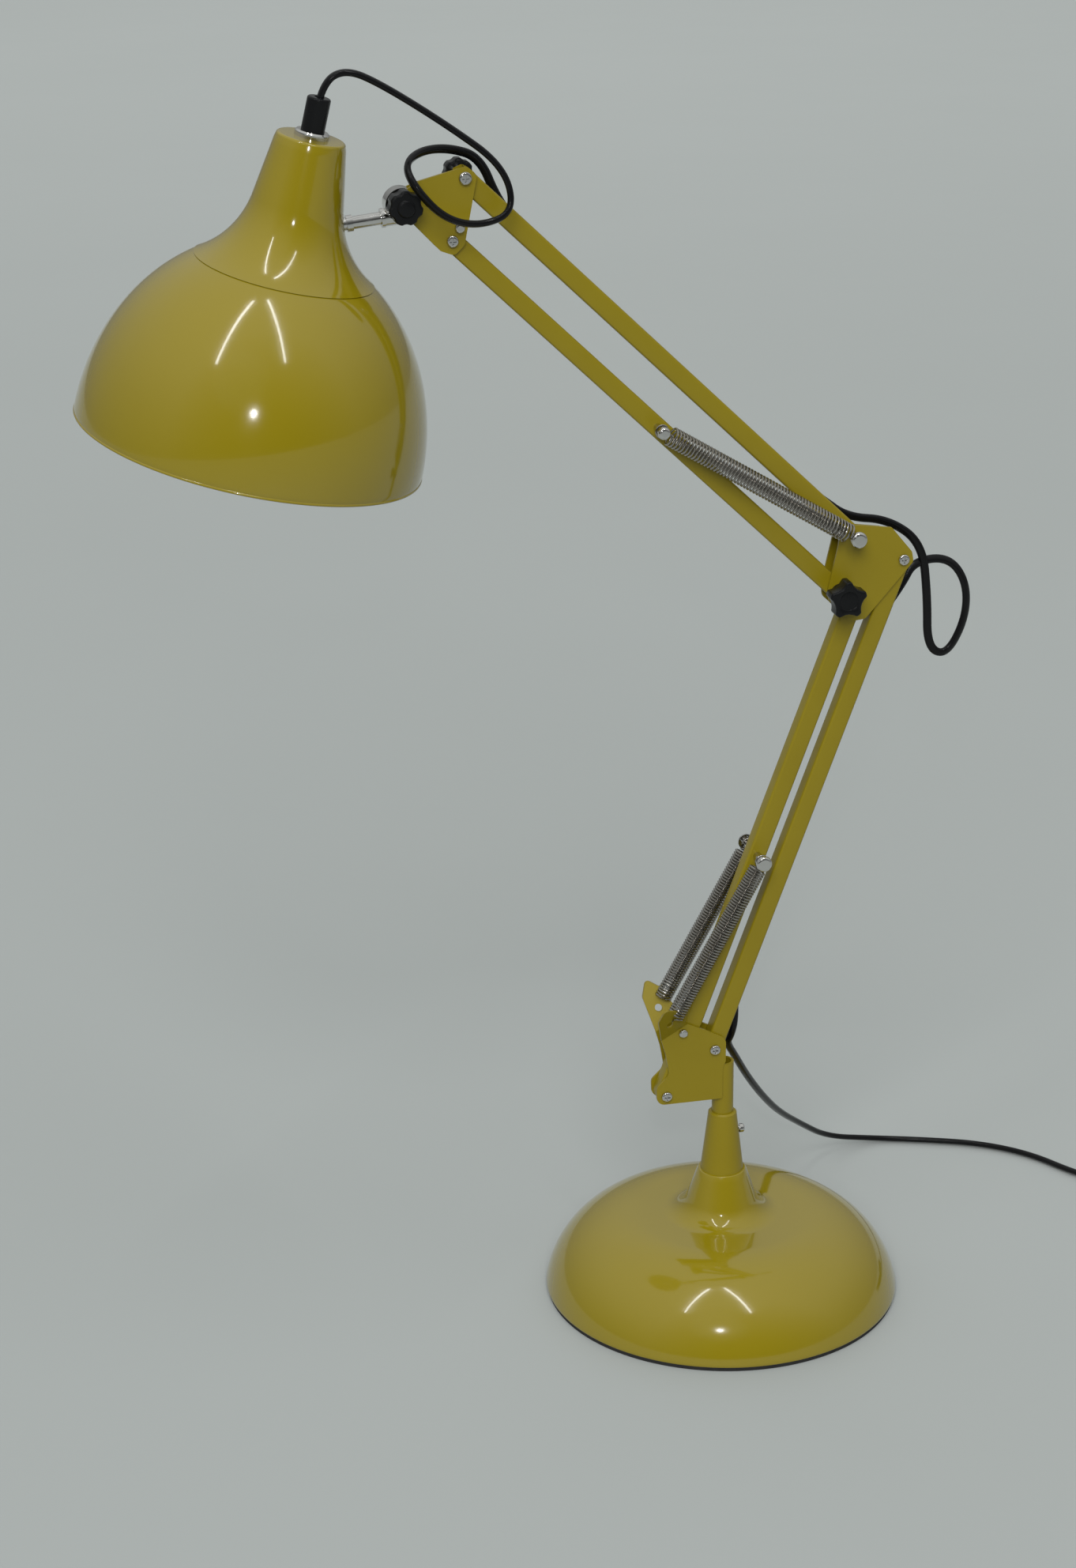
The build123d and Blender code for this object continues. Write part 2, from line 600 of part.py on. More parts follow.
tail_points = [
    along_bar(PIVOT_B, LOWER_ANGLE, RUN_IN, 0.0, 0.0),
    along_bar(PIVOT_B, LOWER_ANGLE, 36.0, 0.0, 0.0),
    along_bar(PIVOT_B, LOWER_ANGLE, 17.0, -8.4, 2.4),
    along_bar(PIVOT_B, LOWER_ANGLE, 6.0, -11.2, 6.0),
    from_foot(11.4, 10.0, -4.0),
    from_foot(19.0, 19.0, -17.0),
    from_foot(32.5, 40.0, -40.8),
    from_foot(49.7, 65.0, -67.5),
    from_foot(67.7, 90.0, -92.0),
    (83.0, 116.0, 34.0),
    (107.0, 137.0, 12.0),
    (138.0, 146.5, FLOOR_Z),
    (170.0, 136.0, FLOOR_Z),
    (202.0, 123.0, FLOOR_Z),
    (227.0, 102.0, FLOOR_Z),
    (243.0, 74.0, FLOOR_Z),
    (COIL_CENTRE[0] - COIL_OUTER_R, COIL_CENTRE[1] + 14.0, COIL_LOW_Z),
    (COIL_CENTRE[0] - COIL_OUTER_R, COIL_CENTRE[1], COIL_LOW_Z),
]
for name, points in (("cord_head", head_points), ("cord_elbow", elbow_points), ("cord_tail", tail_points)):
    print(name, "least bend radius", round(min(cord_radii(points)), 1))
    save(cord_tube(points, CORD_R), name, BLACK)

# Lower arm: left and right square tubes, spring pin, cord run inside the right one
left_bar = bar(PIVOT_A, LOWER_LENGTH, LOWER_ANGLE)
for centre in (PIVOT_A, LEFT_TOP):
    left_bar -= pin(centre, SCREW_R + PIN_FIT, -THROUGH, THROUGH)
left_bar -= pin(LOWER_PIN, SPRING_PIN_R + PIN_FIT, -THROUGH, THROUGH)
save(left_bar, "lower_left_bar", YELLOW)

right_bar = bar(PIVOT_B, LOWER_LENGTH, LOWER_ANGLE)
for centre in (PIVOT_B, RIGHT_TOP):
    right_bar -= pin(centre, SCREW_R + PIN_FIT, -THROUGH, THROUGH)
right_bar -= cord_tube(elbow_points[-4:], CORD_HOLE_R)
right_bar -= cord_tube(tail_points[:4], CORD_HOLE_R)
save(right_bar, "lower_right_bar", YELLOW)


def cord_run(pivot, length, angle):
    """Straight cord inside a square tube, between the two loops."""
    run = Cylinder(CORD_R, length - 2 * RUN_IN)
    return bar_plane(pivot, angle) * (Pos(length / 2, 0, 0) * Rot(0, 90, 0) * run)


save(cord_run(PIVOT_B, LOWER_LENGTH, LOWER_ANGLE), "cord_lower_run", BLACK)


def mushroom(centre, head_r, out):
    """Round head on the end of a spring pin; out is -1 for the front, 1 for the back."""
    head = Cylinder(head_r, SPRING_PIN_HEAD, align=(Align.CENTER, Align.CENTER, Align.MIN))
    head = fillet(head.edges().filter_by(GeomType.CIRCLE).sort_by(Axis.Z)[-1], SPRING_PIN_HEAD * 0.7)
    frame = Plane(origin=(centre[0], out * SPRING_PIN_END, centre[1]), x_dir=(1, 0, 0), z_dir=(0, out, 0))
    return frame * head


lower_pin = pin(LOWER_PIN, SPRING_PIN_R, -SPRING_PIN_END, SPRING_PIN_END)
for out in (-1, 1):
    lower_pin += mushroom(LOWER_PIN, SPRING_PIN_HEAD_R, out)
save(lower_pin, "lower_spring_pin", CHROME)

# Elbow: two cheeks, three pivot screws, the spring bolt and the hand knob bolt
AX, AZ = LEFT_TOP
PX, PZ = ELBOW_P
QX, QZ = ELBOW_Q
RX, RZ = RIGHT_TOP


def elbow_plate(drop):
    """Front plate of the elbow with its holes; drop lowers its top edge."""
    outline = [
        (PX - 6.0, PZ + 6.2 - drop),
        (RX - 7.0 - drop, RZ + 18.0 - drop),
        (RX + 4.6, RZ + 4.0),
        (RX + 5.6, RZ - 1.4),
        (AX + 7.0, AZ - 5.6),
        (AX - 1.0, AZ - 6.6),
        (QX - 5.4, QZ - 5.0),
        (QX - 6.0, QZ + 2.0),
        (PX - 8.0, PZ - 7.0),
    ]
    radii = [3.0, 2.0, 3.0, 3.0, 3.0, 4.0, 4.0, 4.0, 6.0]
    sheet = plate(outline, radii, -CHEEK_OUT, -CHEEK_IN)
    sheet -= pin(LEFT_TOP, SCREW_R + PIN_FIT, -THROUGH, 0)
    sheet -= pin(RIGHT_TOP, SCREW_R + PIN_FIT, -THROUGH, 0)
    sheet -= pin(ELBOW_P, BOLT_R + PIN_FIT, -THROUGH, 0)
    sheet -= pin(ELBOW_Q, KNOB_BOLT_R + PIN_FIT, -THROUGH, 0)
    return sheet


save(elbow_plate(0.0), "elbow_cheek_front", YELLOW)
save(mirror(elbow_plate(REAR_DROP), about=Plane.XZ), "elbow_cheek_rear", YELLOW)
save(pivot_screw(LEFT_TOP, SCREW_R, SCREW_HEAD_R, CHEEK_OUT), "elbow_screw_left", CHROME)
save(pivot_screw(RIGHT_TOP, SCREW_R, SCREW_HEAD_R, CHEEK_OUT), "elbow_screw_right", CHROME)


def hex_nut(centre, radius, y_start, thick):
    """Hexagon nut or bolt head along Y, starting at a depth and going back."""
    frame = Plane(origin=(centre[0], y_start, centre[1]), x_dir=(1, 0, 0), z_dir=(0, 1, 0))
    return frame * extrude(RegularPolygon(radius, 6), thick)


spring_bolt = pin(ELBOW_P, BOLT_R, -SPRING_PIN_END, CHEEK_OUT + NUT_THICK)
spring_bolt += mushroom(ELBOW_P, SPRING_PIN_HEAD_R, -1)
spring_bolt += hex_nut(ELBOW_P, NUT_R, CHEEK_OUT, NUT_THICK)
save(spring_bolt, "elbow_spring_bolt", CHROME)

KNOB_FACE = CHEEK_OUT + SCREW_HEAD + LOOSE
elbow_bolt_end = KNOB_FACE + ELBOW_KNOB_HUB + KNOB_THICK - KNOB_CROWN - BOLT_TIP
elbow_bolt = pin(ELBOW_Q, KNOB_BOLT_R, -elbow_bolt_end, CHEEK_OUT + NUT_THICK)
elbow_bolt += hex_nut(ELBOW_Q, KNOB_BOLT_R + 2.0, CHEEK_OUT, NUT_THICK)
save(elbow_bolt, "elbow_bolt", CHROME)
elbow_knob = hand_knob(ELBOW_Q, ELBOW_KNOB_R, KNOB_BOLT_R + PIN_FIT, -KNOB_FACE, -1, 5, STAR_SCOOP, ELBOW_KNOB_HUB)
save(elbow_knob, "elbow_knob", BLACK)

# Upper arm
top_bar = bar(ELBOW_P, UPPER_LENGTH, UPPER_ANGLE)
top_bar -= pin(ELBOW_P, BOLT_R + PIN_FIT, -THROUGH, THROUGH)
top_bar -= pin(HEAD_P, BOLT_R + PIN_FIT, -THROUGH, THROUGH)
top_bar -= cord_tube(head_points[-4:], CORD_HOLE_R)
top_bar -= cord_tube(elbow_points[:4], CORD_HOLE_R)
save(top_bar, "upper_top_bar", YELLOW)
save(cord_run(ELBOW_P, UPPER_LENGTH, UPPER_ANGLE), "cord_upper_run", BLACK)

bottom_bar = bar(ELBOW_Q, UPPER_LENGTH, UPPER_ANGLE)
bottom_bar -= pin(ELBOW_Q, KNOB_BOLT_R + PIN_FIT, -THROUGH, THROUGH)
bottom_bar -= pin(HEAD_Q, SCREW_R + PIN_FIT, -THROUGH, THROUGH)
bottom_bar -= pin(UPPER_PIN, SPRING_PIN_R + PIN_FIT, -THROUGH, THROUGH)
save(bottom_bar, "upper_bottom_bar", YELLOW)

upper_pin = pin(UPPER_PIN, SPRING_PIN_R, -SPRING_PIN_END, BAR_DEEP / 2 + 1.5)
upper_pin += mushroom(UPPER_PIN, SPRING_PIN_R + 0.9, -1)
save(upper_pin, "upper_spring_pin", CHROME)

# Springs: two on the lower arm, one on the front of the upper arm
hole = Vector(EAR_HOLE[0], -SPRING_Y, EAR_HOLE[1])
lower_end = Vector(LOWER_PIN[0], -SPRING_Y, LOWER_PIN[1])
lower_axis = (lower_end - hole).normalized()
toward_front = Vector(0, -1, 0)
ear_bend = 2.0
ear_out = LOWER_COIL_R
ear_hook = [
    (hole + Vector(0, 4.4, 0), toward_front),
    (hole + toward_front * (ear_out - ear_bend), toward_front),
    (hole + toward_front * ear_out + lower_axis * ear_bend, lower_axis),
    (hole + toward_front * ear_out + lower_axis * (EAR_HOOK_LENGTH * 0.7), lower_axis),
]
ear_coil_start = hole + lower_axis * EAR_HOOK_LENGTH
lower_coil_length = (lower_end - hole).length - EAR_HOOK_LENGTH - HOOK_LENGTH
quarter = lower_coil_length / (4 * LOWER_TURNS)
first_turn = coil_stations(ear_coil_start, lower_axis, toward_front, lower_coil_length, LOWER_TURNS, LOWER_COIL_R)
last_side = lower_axis.cross(toward_front)
last_point = lower_end - lower_axis * (HOOK_LENGTH - quarter) + last_side * LOWER_COIL_R
last_around = lower_axis.cross(last_side)
rise = lower_coil_length / LOWER_TURNS / (2 * math.pi * LOWER_COIL_R)
lower_tail = hook_stations(lower_end, lower_axis, last_side, SPRING_PIN_R)
lower_stations = ear_hook + first_turn + [(last_point, last_around + lower_axis * rise)] + lower_tail
print("lower spring gap", round(lower_coil_length / LOWER_TURNS - 2 * SPRING_WIRE_R, 2))
front_spring = wound_tube(reversed_stations(lower_stations), SPRING_WIRE_R)
save(front_spring, "lower_spring_front", CHROME)
save(mirror(front_spring, about=Plane.XZ), "lower_spring_rear", CHROME)

upper_start = Vector(ELBOW_P[0], -SPRING_Y, ELBOW_P[1])
upper_end = Vector(UPPER_PIN[0], -SPRING_Y, UPPER_PIN[1])
upper_axis = (upper_end - upper_start).normalized()
upper_side = toward_front.cross(upper_axis)
upper_lead = HOOK_LENGTH + BOLT_R - SPRING_PIN_R
upper_hook = reversed_stations(hook_stations(upper_start, upper_axis * -1, upper_side, BOLT_R))
upper_spring = spring_between(upper_hook, upper_start, upper_end, upper_side, UPPER_TURNS, upper_lead, UPPER_COIL_R)
save(upper_spring, "upper_spring", CHROME)

# Head bracket: two cheeks, bolt with rear knob, screws, tilt bolt and tilt knob
HX, HZ = HEAD_P
GX, GZ = HEAD_Q
HEAD_STOP = (GX + 3.8, GZ + 6.4)


def head_plate(drop):
    """Front plate of the head bracket with its holes; drop lowers its top edge."""
    outline = [
        (T_X - 6.2, T_Z + 3.0),
        (T_X + 8.6, T_Z + 11.6 - drop),
        (HX + 1.0, HZ + 5.8 - drop),
        (HX + 6.2, HZ + 1.4),
        (GX + 6.2, GZ - 2.4),
        (GX + 1.0, GZ - 7.2),
        (GX - 6.0, GZ - 4.6),
        (T_X + 3.4, T_Z - 7.6),
        (T_X - 6.2, T_Z - 5.0),
    ]
    radii = [4.4, 4.0, 3.0, 4.0, 4.0, 3.0, 3.0, 3.0, 4.4]
    sheet = plate(outline, radii, -CHEEK_OUT, -CHEEK_IN)
    sheet -= pin(HEAD_P, BOLT_R + PIN_FIT, -THROUGH, 0)
    sheet -= pin(HEAD_Q, SCREW_R + PIN_FIT, -THROUGH, 0)
    sheet -= pin(TILT, BOLT_R + PIN_FIT, -THROUGH, 0)
    return sheet


save(mirror(head_plate(REAR_DROP), about=Plane.XZ), "head_cheek_rear", YELLOW)
head_front = head_plate(0.0)
head_front -= pin(HEAD_STOP, RIVET_R + PIN_FIT, -THROUGH, 0)
save(head_front, "head_cheek_front", YELLOW)
save(rivet(HEAD_STOP, RIVET_R, SCREW_HEAD_R * 0.85), "head_rivet", CHROME)
save(pivot_screw(HEAD_Q, SCREW_R, SCREW_HEAD_R, CHEEK_OUT), "head_screw_lower", CHROME)

REAR_FACE = CHEEK_OUT + LOOSE
head_bolt = pivot_screw(HEAD_P, BOLT_R, SCREW_HEAD_R + 0.3, -CHEEK_OUT)
head_bolt = head_bolt & pin(HEAD_P, THROUGH, -THROUGH, -CHEEK_OUT)
head_bolt += pin(HEAD_P, BOLT_R, -CHEEK_OUT, REAR_FACE + KNOB_THICK - KNOB_CROWN - BOLT_TIP)
save(head_bolt, "head_bolt", CHROME)
rear_knob = hand_knob(HEAD_P, REAR_KNOB_R, BOLT_R + PIN_FIT, REAR_FACE, 1, 7, SOFT_SCOOP, 0)
save(rear_knob, "rear_knob", BLACK)

TILT_FACE = CHEEK_OUT + LOOSE
tilt_bolt_end = TILT_FACE + KNOB_THICK - KNOB_CROWN - BOLT_TIP
tilt_bolt = pin(TILT, BOLT_R, -tilt_bolt_end, CHEEK_OUT + NUT_THICK)
tilt_bolt += hex_nut(TILT, NUT_R + 0.6, CHEEK_OUT, NUT_THICK)
save(tilt_bolt, "tilt_bolt", CHROME)
tilt_knob = hand_knob(TILT, TILT_KNOB_R, BOLT_R + PIN_FIT, -TILT_FACE, -1, 7, SOFT_SCOOP, 0)
save(tilt_knob, "tilt_knob", BLACK)

# Tilt block and chrome stub that carry the shade
block_half = BAR_DEEP / 2
tilt_block = pin(TILT, TILT_BLOCK_R, -block_half, block_half)
stub_frame = Plane(origin=(stub_foot.X, 0, stub_foot.Z), x_dir=(0, 1, 0), z_dir=stub_dir)
lug = Cylinder(TILT_LUG_R, STUB_BASE + 4.0, align=(Align.CENTER, Align.CENTER, Align.MAX))
tilt_block += stub_frame * (Pos(0, 0, STUB_BASE) * lug)
tilt_block -= pin(TILT, BOLT_R + PIN_FIT, -THROUGH, THROUGH)
tilt_block -= stub_frame * (Pos(0, 0, STUB_BASE) * Cylinder(STUB_R + PIN_FIT, 8))
save(tilt_block, "tilt_block", CHROME)


# Shade neck: straight top, then a flare that just overhangs the top of the dome
dome_top_r = DOME_SEMI_R * math.sqrt(1 - ((SEAM_H - DOME_H) / DOME_SEMI_H) ** 2)
SEAM_R = dome_top_r + SEAM_OVERHANG


def neck_side(offset):
    """Side line of the shade neck, set in by an offset."""
    upper = Vector(NECK_MID_R - NECK_TOP_R, NECK_MID_H - NECK_TOP_H).normalized()
    top = (NECK_TOP_R - offset, NECK_TOP_H - offset)
    mid = (NECK_MID_R - offset, NECK_MID_H - offset * 0.3)
    low = (SEAM_R - offset * 1.3, SEAM_H)
    line = Line(top, mid)
    return line, TangentArc(mid, low, tangent=(upper.X, upper.Y)), top, low


side_line, side_arc, side_top, side_low = neck_side(0.0)
in_line, in_arc, in_top, in_low = neck_side(SHADE_SHEET)
neck_edges = [
    side_line,
    side_arc,
    Line(side_low, in_low),
    in_arc,
    in_line,
    Line(in_top, (NIPPLE_R + PIN_FIT, in_top[1])),
    Line((NIPPLE_R + PIN_FIT, in_top[1]), (NIPPLE_R + PIN_FIT, NECK_TOP_H)),
    Line((NIPPLE_R + PIN_FIT, NECK_TOP_H), side_top),
]
neck = revolve(Plane.XZ * make_face(neck_edges), Axis.Z)
neck_rim = neck.edges().filter_by(GeomType.CIRCLE).filter_by(lambda e: abs(e.radius - NECK_TOP_R) < 0.01)
neck = fillet(neck_rim, 1.6)
neck_hole = stub_frame * Cylinder(STUB_R + 0.08, 60, align=(Align.CENTER, Align.CENTER, Align.MIN))
shade_neck = shade_piece(neck) - neck_hole
save(shade_neck, "shade_neck", YELLOW)


lip_in_h = SEAM_H - SHADE_SHEET
inner_semi_r = DOME_SEMI_R - SHADE_SHEET
inner_semi_h = DOME_SEMI_H - SHADE_SHEET
lip_in_r = inner_semi_r * math.sqrt(1 - ((lip_in_h - DOME_H) / inner_semi_h) ** 2)
outer_start = math.degrees(math.acos(dome_top_r / DOME_SEMI_R))
inner_start = math.degrees(math.acos(lip_in_r / inner_semi_r))
outer_side = EllipticalCenterArc((0, DOME_H), DOME_SEMI_R, DOME_SEMI_H, start_angle=0, arc_size=outer_start)
inner_side = EllipticalCenterArc((0, DOME_H), inner_semi_r, inner_semi_h, start_angle=0, arc_size=inner_start)
lip_r = dome_top_r - SEAM_LIP
dome_edges = [
    outer_side,
    Line((dome_top_r, SEAM_H), (lip_r, SEAM_H)),
    Line((lip_r, SEAM_H), (lip_r, lip_in_h)),
    Line((lip_r, lip_in_h), (lip_in_r, lip_in_h)),
    inner_side,
    Line((inner_semi_r, DOME_H), (DOME_SEMI_R, DOME_H)),
]
dome = revolve(Plane.XZ * make_face(dome_edges), Axis.Z)
dome += Pos(0, 0, DOME_H) * Torus(DOME_SEMI_R - SHADE_SHEET / 2, BEAD_R)
shade_dome = shade_piece(dome)
save(shade_dome, "shade_dome", YELLOW)

# Stub: flange on the block, rod through the neck, collar outside and nut inside
neck_spot = shade_point(0, 0)
reach_axis = (neck_spot - stub_foot).dot(stub_dir)
neck_r_there = NECK_MID_R + 2.6
wall_out = reach_axis - neck_r_there
collar_end = wall_out - NECK_GAP
nut_start = wall_out + SHADE_SHEET + NECK_GAP + 1.2
rod_end = nut_start + STUB_NUT + 0.8
from_low = (Align.CENTER, Align.CENTER, Align.MIN)
stub = Pos(0, 0, STUB_BASE) * Cylinder(STUB_FLANGE_R, STUB_FLANGE, align=from_low)
stub += Pos(0, 0, STUB_BASE - 4.0) * Cylinder(STUB_R, rod_end - STUB_BASE + 4.0, align=from_low)
stub += Pos(0, 0, collar_end - STUB_NUT) * Cylinder(STUB_COLLAR_R, STUB_NUT, align=from_low)
stub += Pos(0, 0, nut_start) * extrude(RegularPolygon(STUB_NUT_R, 6), STUB_NUT)
save(stub_frame * stub, "stub_rod", CHROME)

# Shade fittings: nut and cord grip on top, lampholder and bulb inside
grip_nut = Pos(0, 0, NECK_TOP_H) * Cylinder(GRIP_NUT_R, GRIP_NUT, align=from_low)
grip_nut = chamfer(grip_nut.edges().sort_by(Axis.Z)[-1], 0.8)
grip_nut -= Cylinder(NIPPLE_R + PIN_FIT, 200)
save(shade_piece(grip_nut), "neck_nut", CHROME)

grip_low_h = NECK_TOP_H + GRIP_NUT
grip = Pos(0, 0, grip_low_h) * Cylinder(GRIP_R, GRIP_LENGTH, align=from_low)
grip = fillet(grip.edges().filter_by(GeomType.CIRCLE).sort_by(Axis.Z)[-1], 1.2)
grip -= Pos(0, 0, grip_top_h - 8.0) * Cylinder(CORD_R + LOOSE, 20, align=from_low)
grip -= Pos(0, 0, grip_low_h) * Cylinder(NIPPLE_R + PIN_FIT, 5.0, align=from_low)
save(shade_piece(grip), "cord_grip", BLACK)

holder = Pos(0, 0, HOLDER_END_H) * Cylinder(HOLDER_R, HOLDER_TOP_H - HOLDER_END_H, align=from_low)
holder = fillet(holder.edges().filter_by(GeomType.CIRCLE).sort_by(Axis.Z)[-1], 3.0)
holder += Pos(0, 0, HOLDER_TOP_H - 2.0) * Cylinder(NIPPLE_R, grip_low_h + 4.8 - HOLDER_TOP_H + 2.0, align=from_low)
cap_top_h = HOLDER_END_H + 24.0
holder -= Pos(0, 0, HOLDER_END_H) * Cylinder(BULB_CAP_R + LOOSE, cap_top_h - HOLDER_END_H, align=from_low)
save(shade_piece(holder), "lampholder", BLACK)

cap_low_h = HOLDER_END_H - 4.0
globe_join = math.sqrt(BULB_R**2 - 18.0**2) + BULB_CENTRE_H
bulb_edges = [
    Line((0, cap_top_h), (BULB_CAP_R, cap_top_h)),
    Line((BULB_CAP_R, cap_top_h), (BULB_CAP_R, cap_low_h)),
    Line((BULB_CAP_R, cap_low_h), (18.0, globe_join)),
    ThreePointArc((18.0, globe_join), (BULB_R, BULB_CENTRE_H), (0, BULB_CENTRE_H - BULB_R)),
    Line((0, BULB_CENTRE_H - BULB_R), (0, cap_top_h)),
]
bulb = revolve(Plane.XZ * make_face(bulb_edges), Axis.Z)
save(shade_piece(bulb), "bulb", WHITE)

# Spare cord: two layers of loops, in along the floor and out on top
CX, CY = COIL_CENTRE
coil_rate = (COIL_OUTER_R - COIL_INNER_R) / COIL_TURNS / (2 * math.pi)
low_end = COIL_TURNS * 2 * math.pi
top_start = low_end + math.pi
last_angle = top_start + low_end


def coil_place(angle):
    """Radius, radius rate, height and height rate of the coil at an angle from its start."""
    if angle < low_end:
        return COIL_OUTER_R - coil_rate * angle, -coil_rate, 0.0, 0.0
    if angle < top_start:
        part = (angle - low_end) / math.pi
        dip = coil_rate * math.pi * min(part, 1 - part)
        rate = 0.0 if abs(part - 0.5) < 0.01 else math.copysign(coil_rate, part - 0.5)
        rise = COIL_LAYER * (1 - math.cos(math.pi * part)) / 2
        return COIL_INNER_R - dip, rate, rise, COIL_LAYER * math.sin(math.pi * part) / 2
    return COIL_INNER_R + coil_rate * (angle - top_start), coil_rate, COIL_LAYER, 0.0


coil_stops = []
quarters = round(last_angle / (math.pi / 2))
for step in range(quarters + 1):
    angle = step * math.pi / 2
    r, r_rate, z, z_rate = coil_place(angle)
    turn = math.pi + angle
    point = Vector(CX + r * math.cos(turn), CY + r * math.sin(turn), COIL_LOW_Z + z)
    dx = r_rate * math.cos(turn) - r * math.sin(turn)
    dy = r_rate * math.sin(turn) + r * math.cos(turn)
    if step == 0 or step == quarters:
        dx, dy = -r * math.sin(turn), r * math.cos(turn)
    coil_stops.append((point, Vector(dx, dy, z_rate)))
coil_gap = min(2 * math.pi * coil_rate, COIL_LAYER) - 2 * CORD_R
print("coil gap between loops", round(coil_gap, 2))
plug_near = Vector(CX + COIL_OUTER_R, CY + 30.0, PLUG_HIGH / 2)
plug_end = Vector(CX + COIL_OUTER_R, CY + 44.0, PLUG_HIGH / 2)
along_y = Vector(0, 1, 0)
coil_stops += [(plug_near, along_y), (plug_end, along_y)]
save(wound_tube(coil_stops, CORD_R), "cord_coil", BLACK)

tie_in = COIL_INNER_R - coil_rate * math.pi / 2 - CORD_R - WIRE_GAP - 0.6
tie_out = COIL_OUTER_R + CORD_R + WIRE_GAP
tie_low = COIL_LOW_Z - CORD_R - WIRE_GAP
tie_high = COIL_LOW_Z + COIL_LAYER + CORD_R + WIRE_GAP
tie_mid_r = (tie_in + tie_out) / 2
tie_mid_z = (tie_low + tie_high) / 2
tie_hole = Box(TIE_WIDE + 2, tie_out - tie_in, tie_high - tie_low)
tie = Box(TIE_WIDE, tie_out - tie_in + 2 * TIE_THICK, tie_high - tie_low + 2 * TIE_THICK) - tie_hole
save(Pos(CX, CY - tie_mid_r, tie_mid_z) * tie, "coil_tie", BLACK)

plug_start_y = CY + 36.0
plug_mid_y = plug_start_y + 10.0 + PLUG_LENGTH / 2
plug = Pos(CX + COIL_OUTER_R, plug_mid_y, PLUG_HIGH / 2) * Box(PLUG_WIDE, PLUG_LENGTH, PLUG_HIGH)
plug = fillet(plug.edges().filter_by(Axis.Y), 5.0)
relief = Cylinder(CORD_R + 2.2, 11.0, align=from_low)
relief_frame = Plane(origin=(CX + COIL_OUTER_R, plug_start_y, PLUG_HIGH / 2), z_dir=(0, 1, 0))
plug += relief_frame * relief
plug -= relief_frame * Cylinder(CORD_R + LOOSE, 8.3, align=from_low)
plug_front_y = plug_mid_y + PLUG_LENGTH / 2
plug_pin_at = []
for side in (-1, 1):
    spot = (CX + COIL_OUTER_R + side * PLUG_PIN_SPREAD, plug_front_y, PLUG_HIGH / 2)
    pin_frame = Plane(origin=spot, z_dir=(0, 1, 0))
    plug -= pin_frame * Cylinder(PLUG_PIN_R, 12)
    prong = pin_frame * (Pos(0, 0, -6) * Cylinder(PLUG_PIN_R, PLUG_PIN_LENGTH + 6, align=from_low))
    plug_pin_at.append(fillet(prong.edges().filter_by(GeomType.CIRCLE).sort_by(Axis.Y)[-1], 0.8))
save(plug, "plug", BLACK)
save(plug_pin_at[0], "plug_pin_left", CHROME)
save(plug_pin_at[1], "plug_pin_right", CHROME)
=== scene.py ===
"""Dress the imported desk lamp: paint, chrome, rubber, cords, springs, studio light and camera."""

import logging
import math
from dataclasses import dataclass
from enum import Enum

import bmesh
import bpy
import numpy as np
from mathutils import Euler, Matrix, Vector

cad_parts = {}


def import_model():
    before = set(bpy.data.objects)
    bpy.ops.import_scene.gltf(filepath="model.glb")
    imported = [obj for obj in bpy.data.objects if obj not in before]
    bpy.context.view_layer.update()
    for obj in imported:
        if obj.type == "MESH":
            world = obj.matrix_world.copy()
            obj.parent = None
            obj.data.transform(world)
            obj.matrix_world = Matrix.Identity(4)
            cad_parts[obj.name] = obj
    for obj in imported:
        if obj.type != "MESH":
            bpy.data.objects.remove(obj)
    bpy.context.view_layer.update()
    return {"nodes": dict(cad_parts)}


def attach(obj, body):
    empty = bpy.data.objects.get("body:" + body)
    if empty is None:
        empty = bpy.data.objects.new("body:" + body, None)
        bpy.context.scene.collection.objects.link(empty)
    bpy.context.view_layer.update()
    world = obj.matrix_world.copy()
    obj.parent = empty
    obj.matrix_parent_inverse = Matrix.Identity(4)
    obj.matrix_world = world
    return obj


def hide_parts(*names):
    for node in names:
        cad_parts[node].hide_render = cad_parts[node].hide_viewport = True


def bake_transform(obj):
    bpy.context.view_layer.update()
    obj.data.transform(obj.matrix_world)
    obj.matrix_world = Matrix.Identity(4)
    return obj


LOG = logging.getLogger("desk_lamp")
MM = 0.001
FULL_TURN = 2 * math.pi
SEAM_GAP = 2e-6
Point = tuple[float, float, float]
Flat = tuple[float, float]
Length = float | np.ndarray


class Slot(Enum):
    """Material slots of the record that the finishes stand for."""

    GLOSS = "gloss_paint"
    SATIN = "satin_paint"
    CHROME = "chrome"
    PLASTIC = "black_plastic"
    CORD = "cord_skin"
    PAD = "pad"
    IRON = "iron"
    GLASS = "bulb_glass"


class Side(Enum):
    """Front or back of the lamp, as a sign along Y."""

    FRONT = -1.0
    REAR = 1.0


class Grip(Enum):
    """Edge of a hand knob: number of scoops, then how far out and how wide, in knob radii."""

    STAR = (5, 1.6, 0.85)
    SOFT = (7, 1.35, 0.45)


def set_inputs(node: bpy.types.Node, values: dict[str, float]) -> None:
    """Set a node's inputs by their names."""
    for socket, value in values.items():
        node.inputs[socket].default_value = value


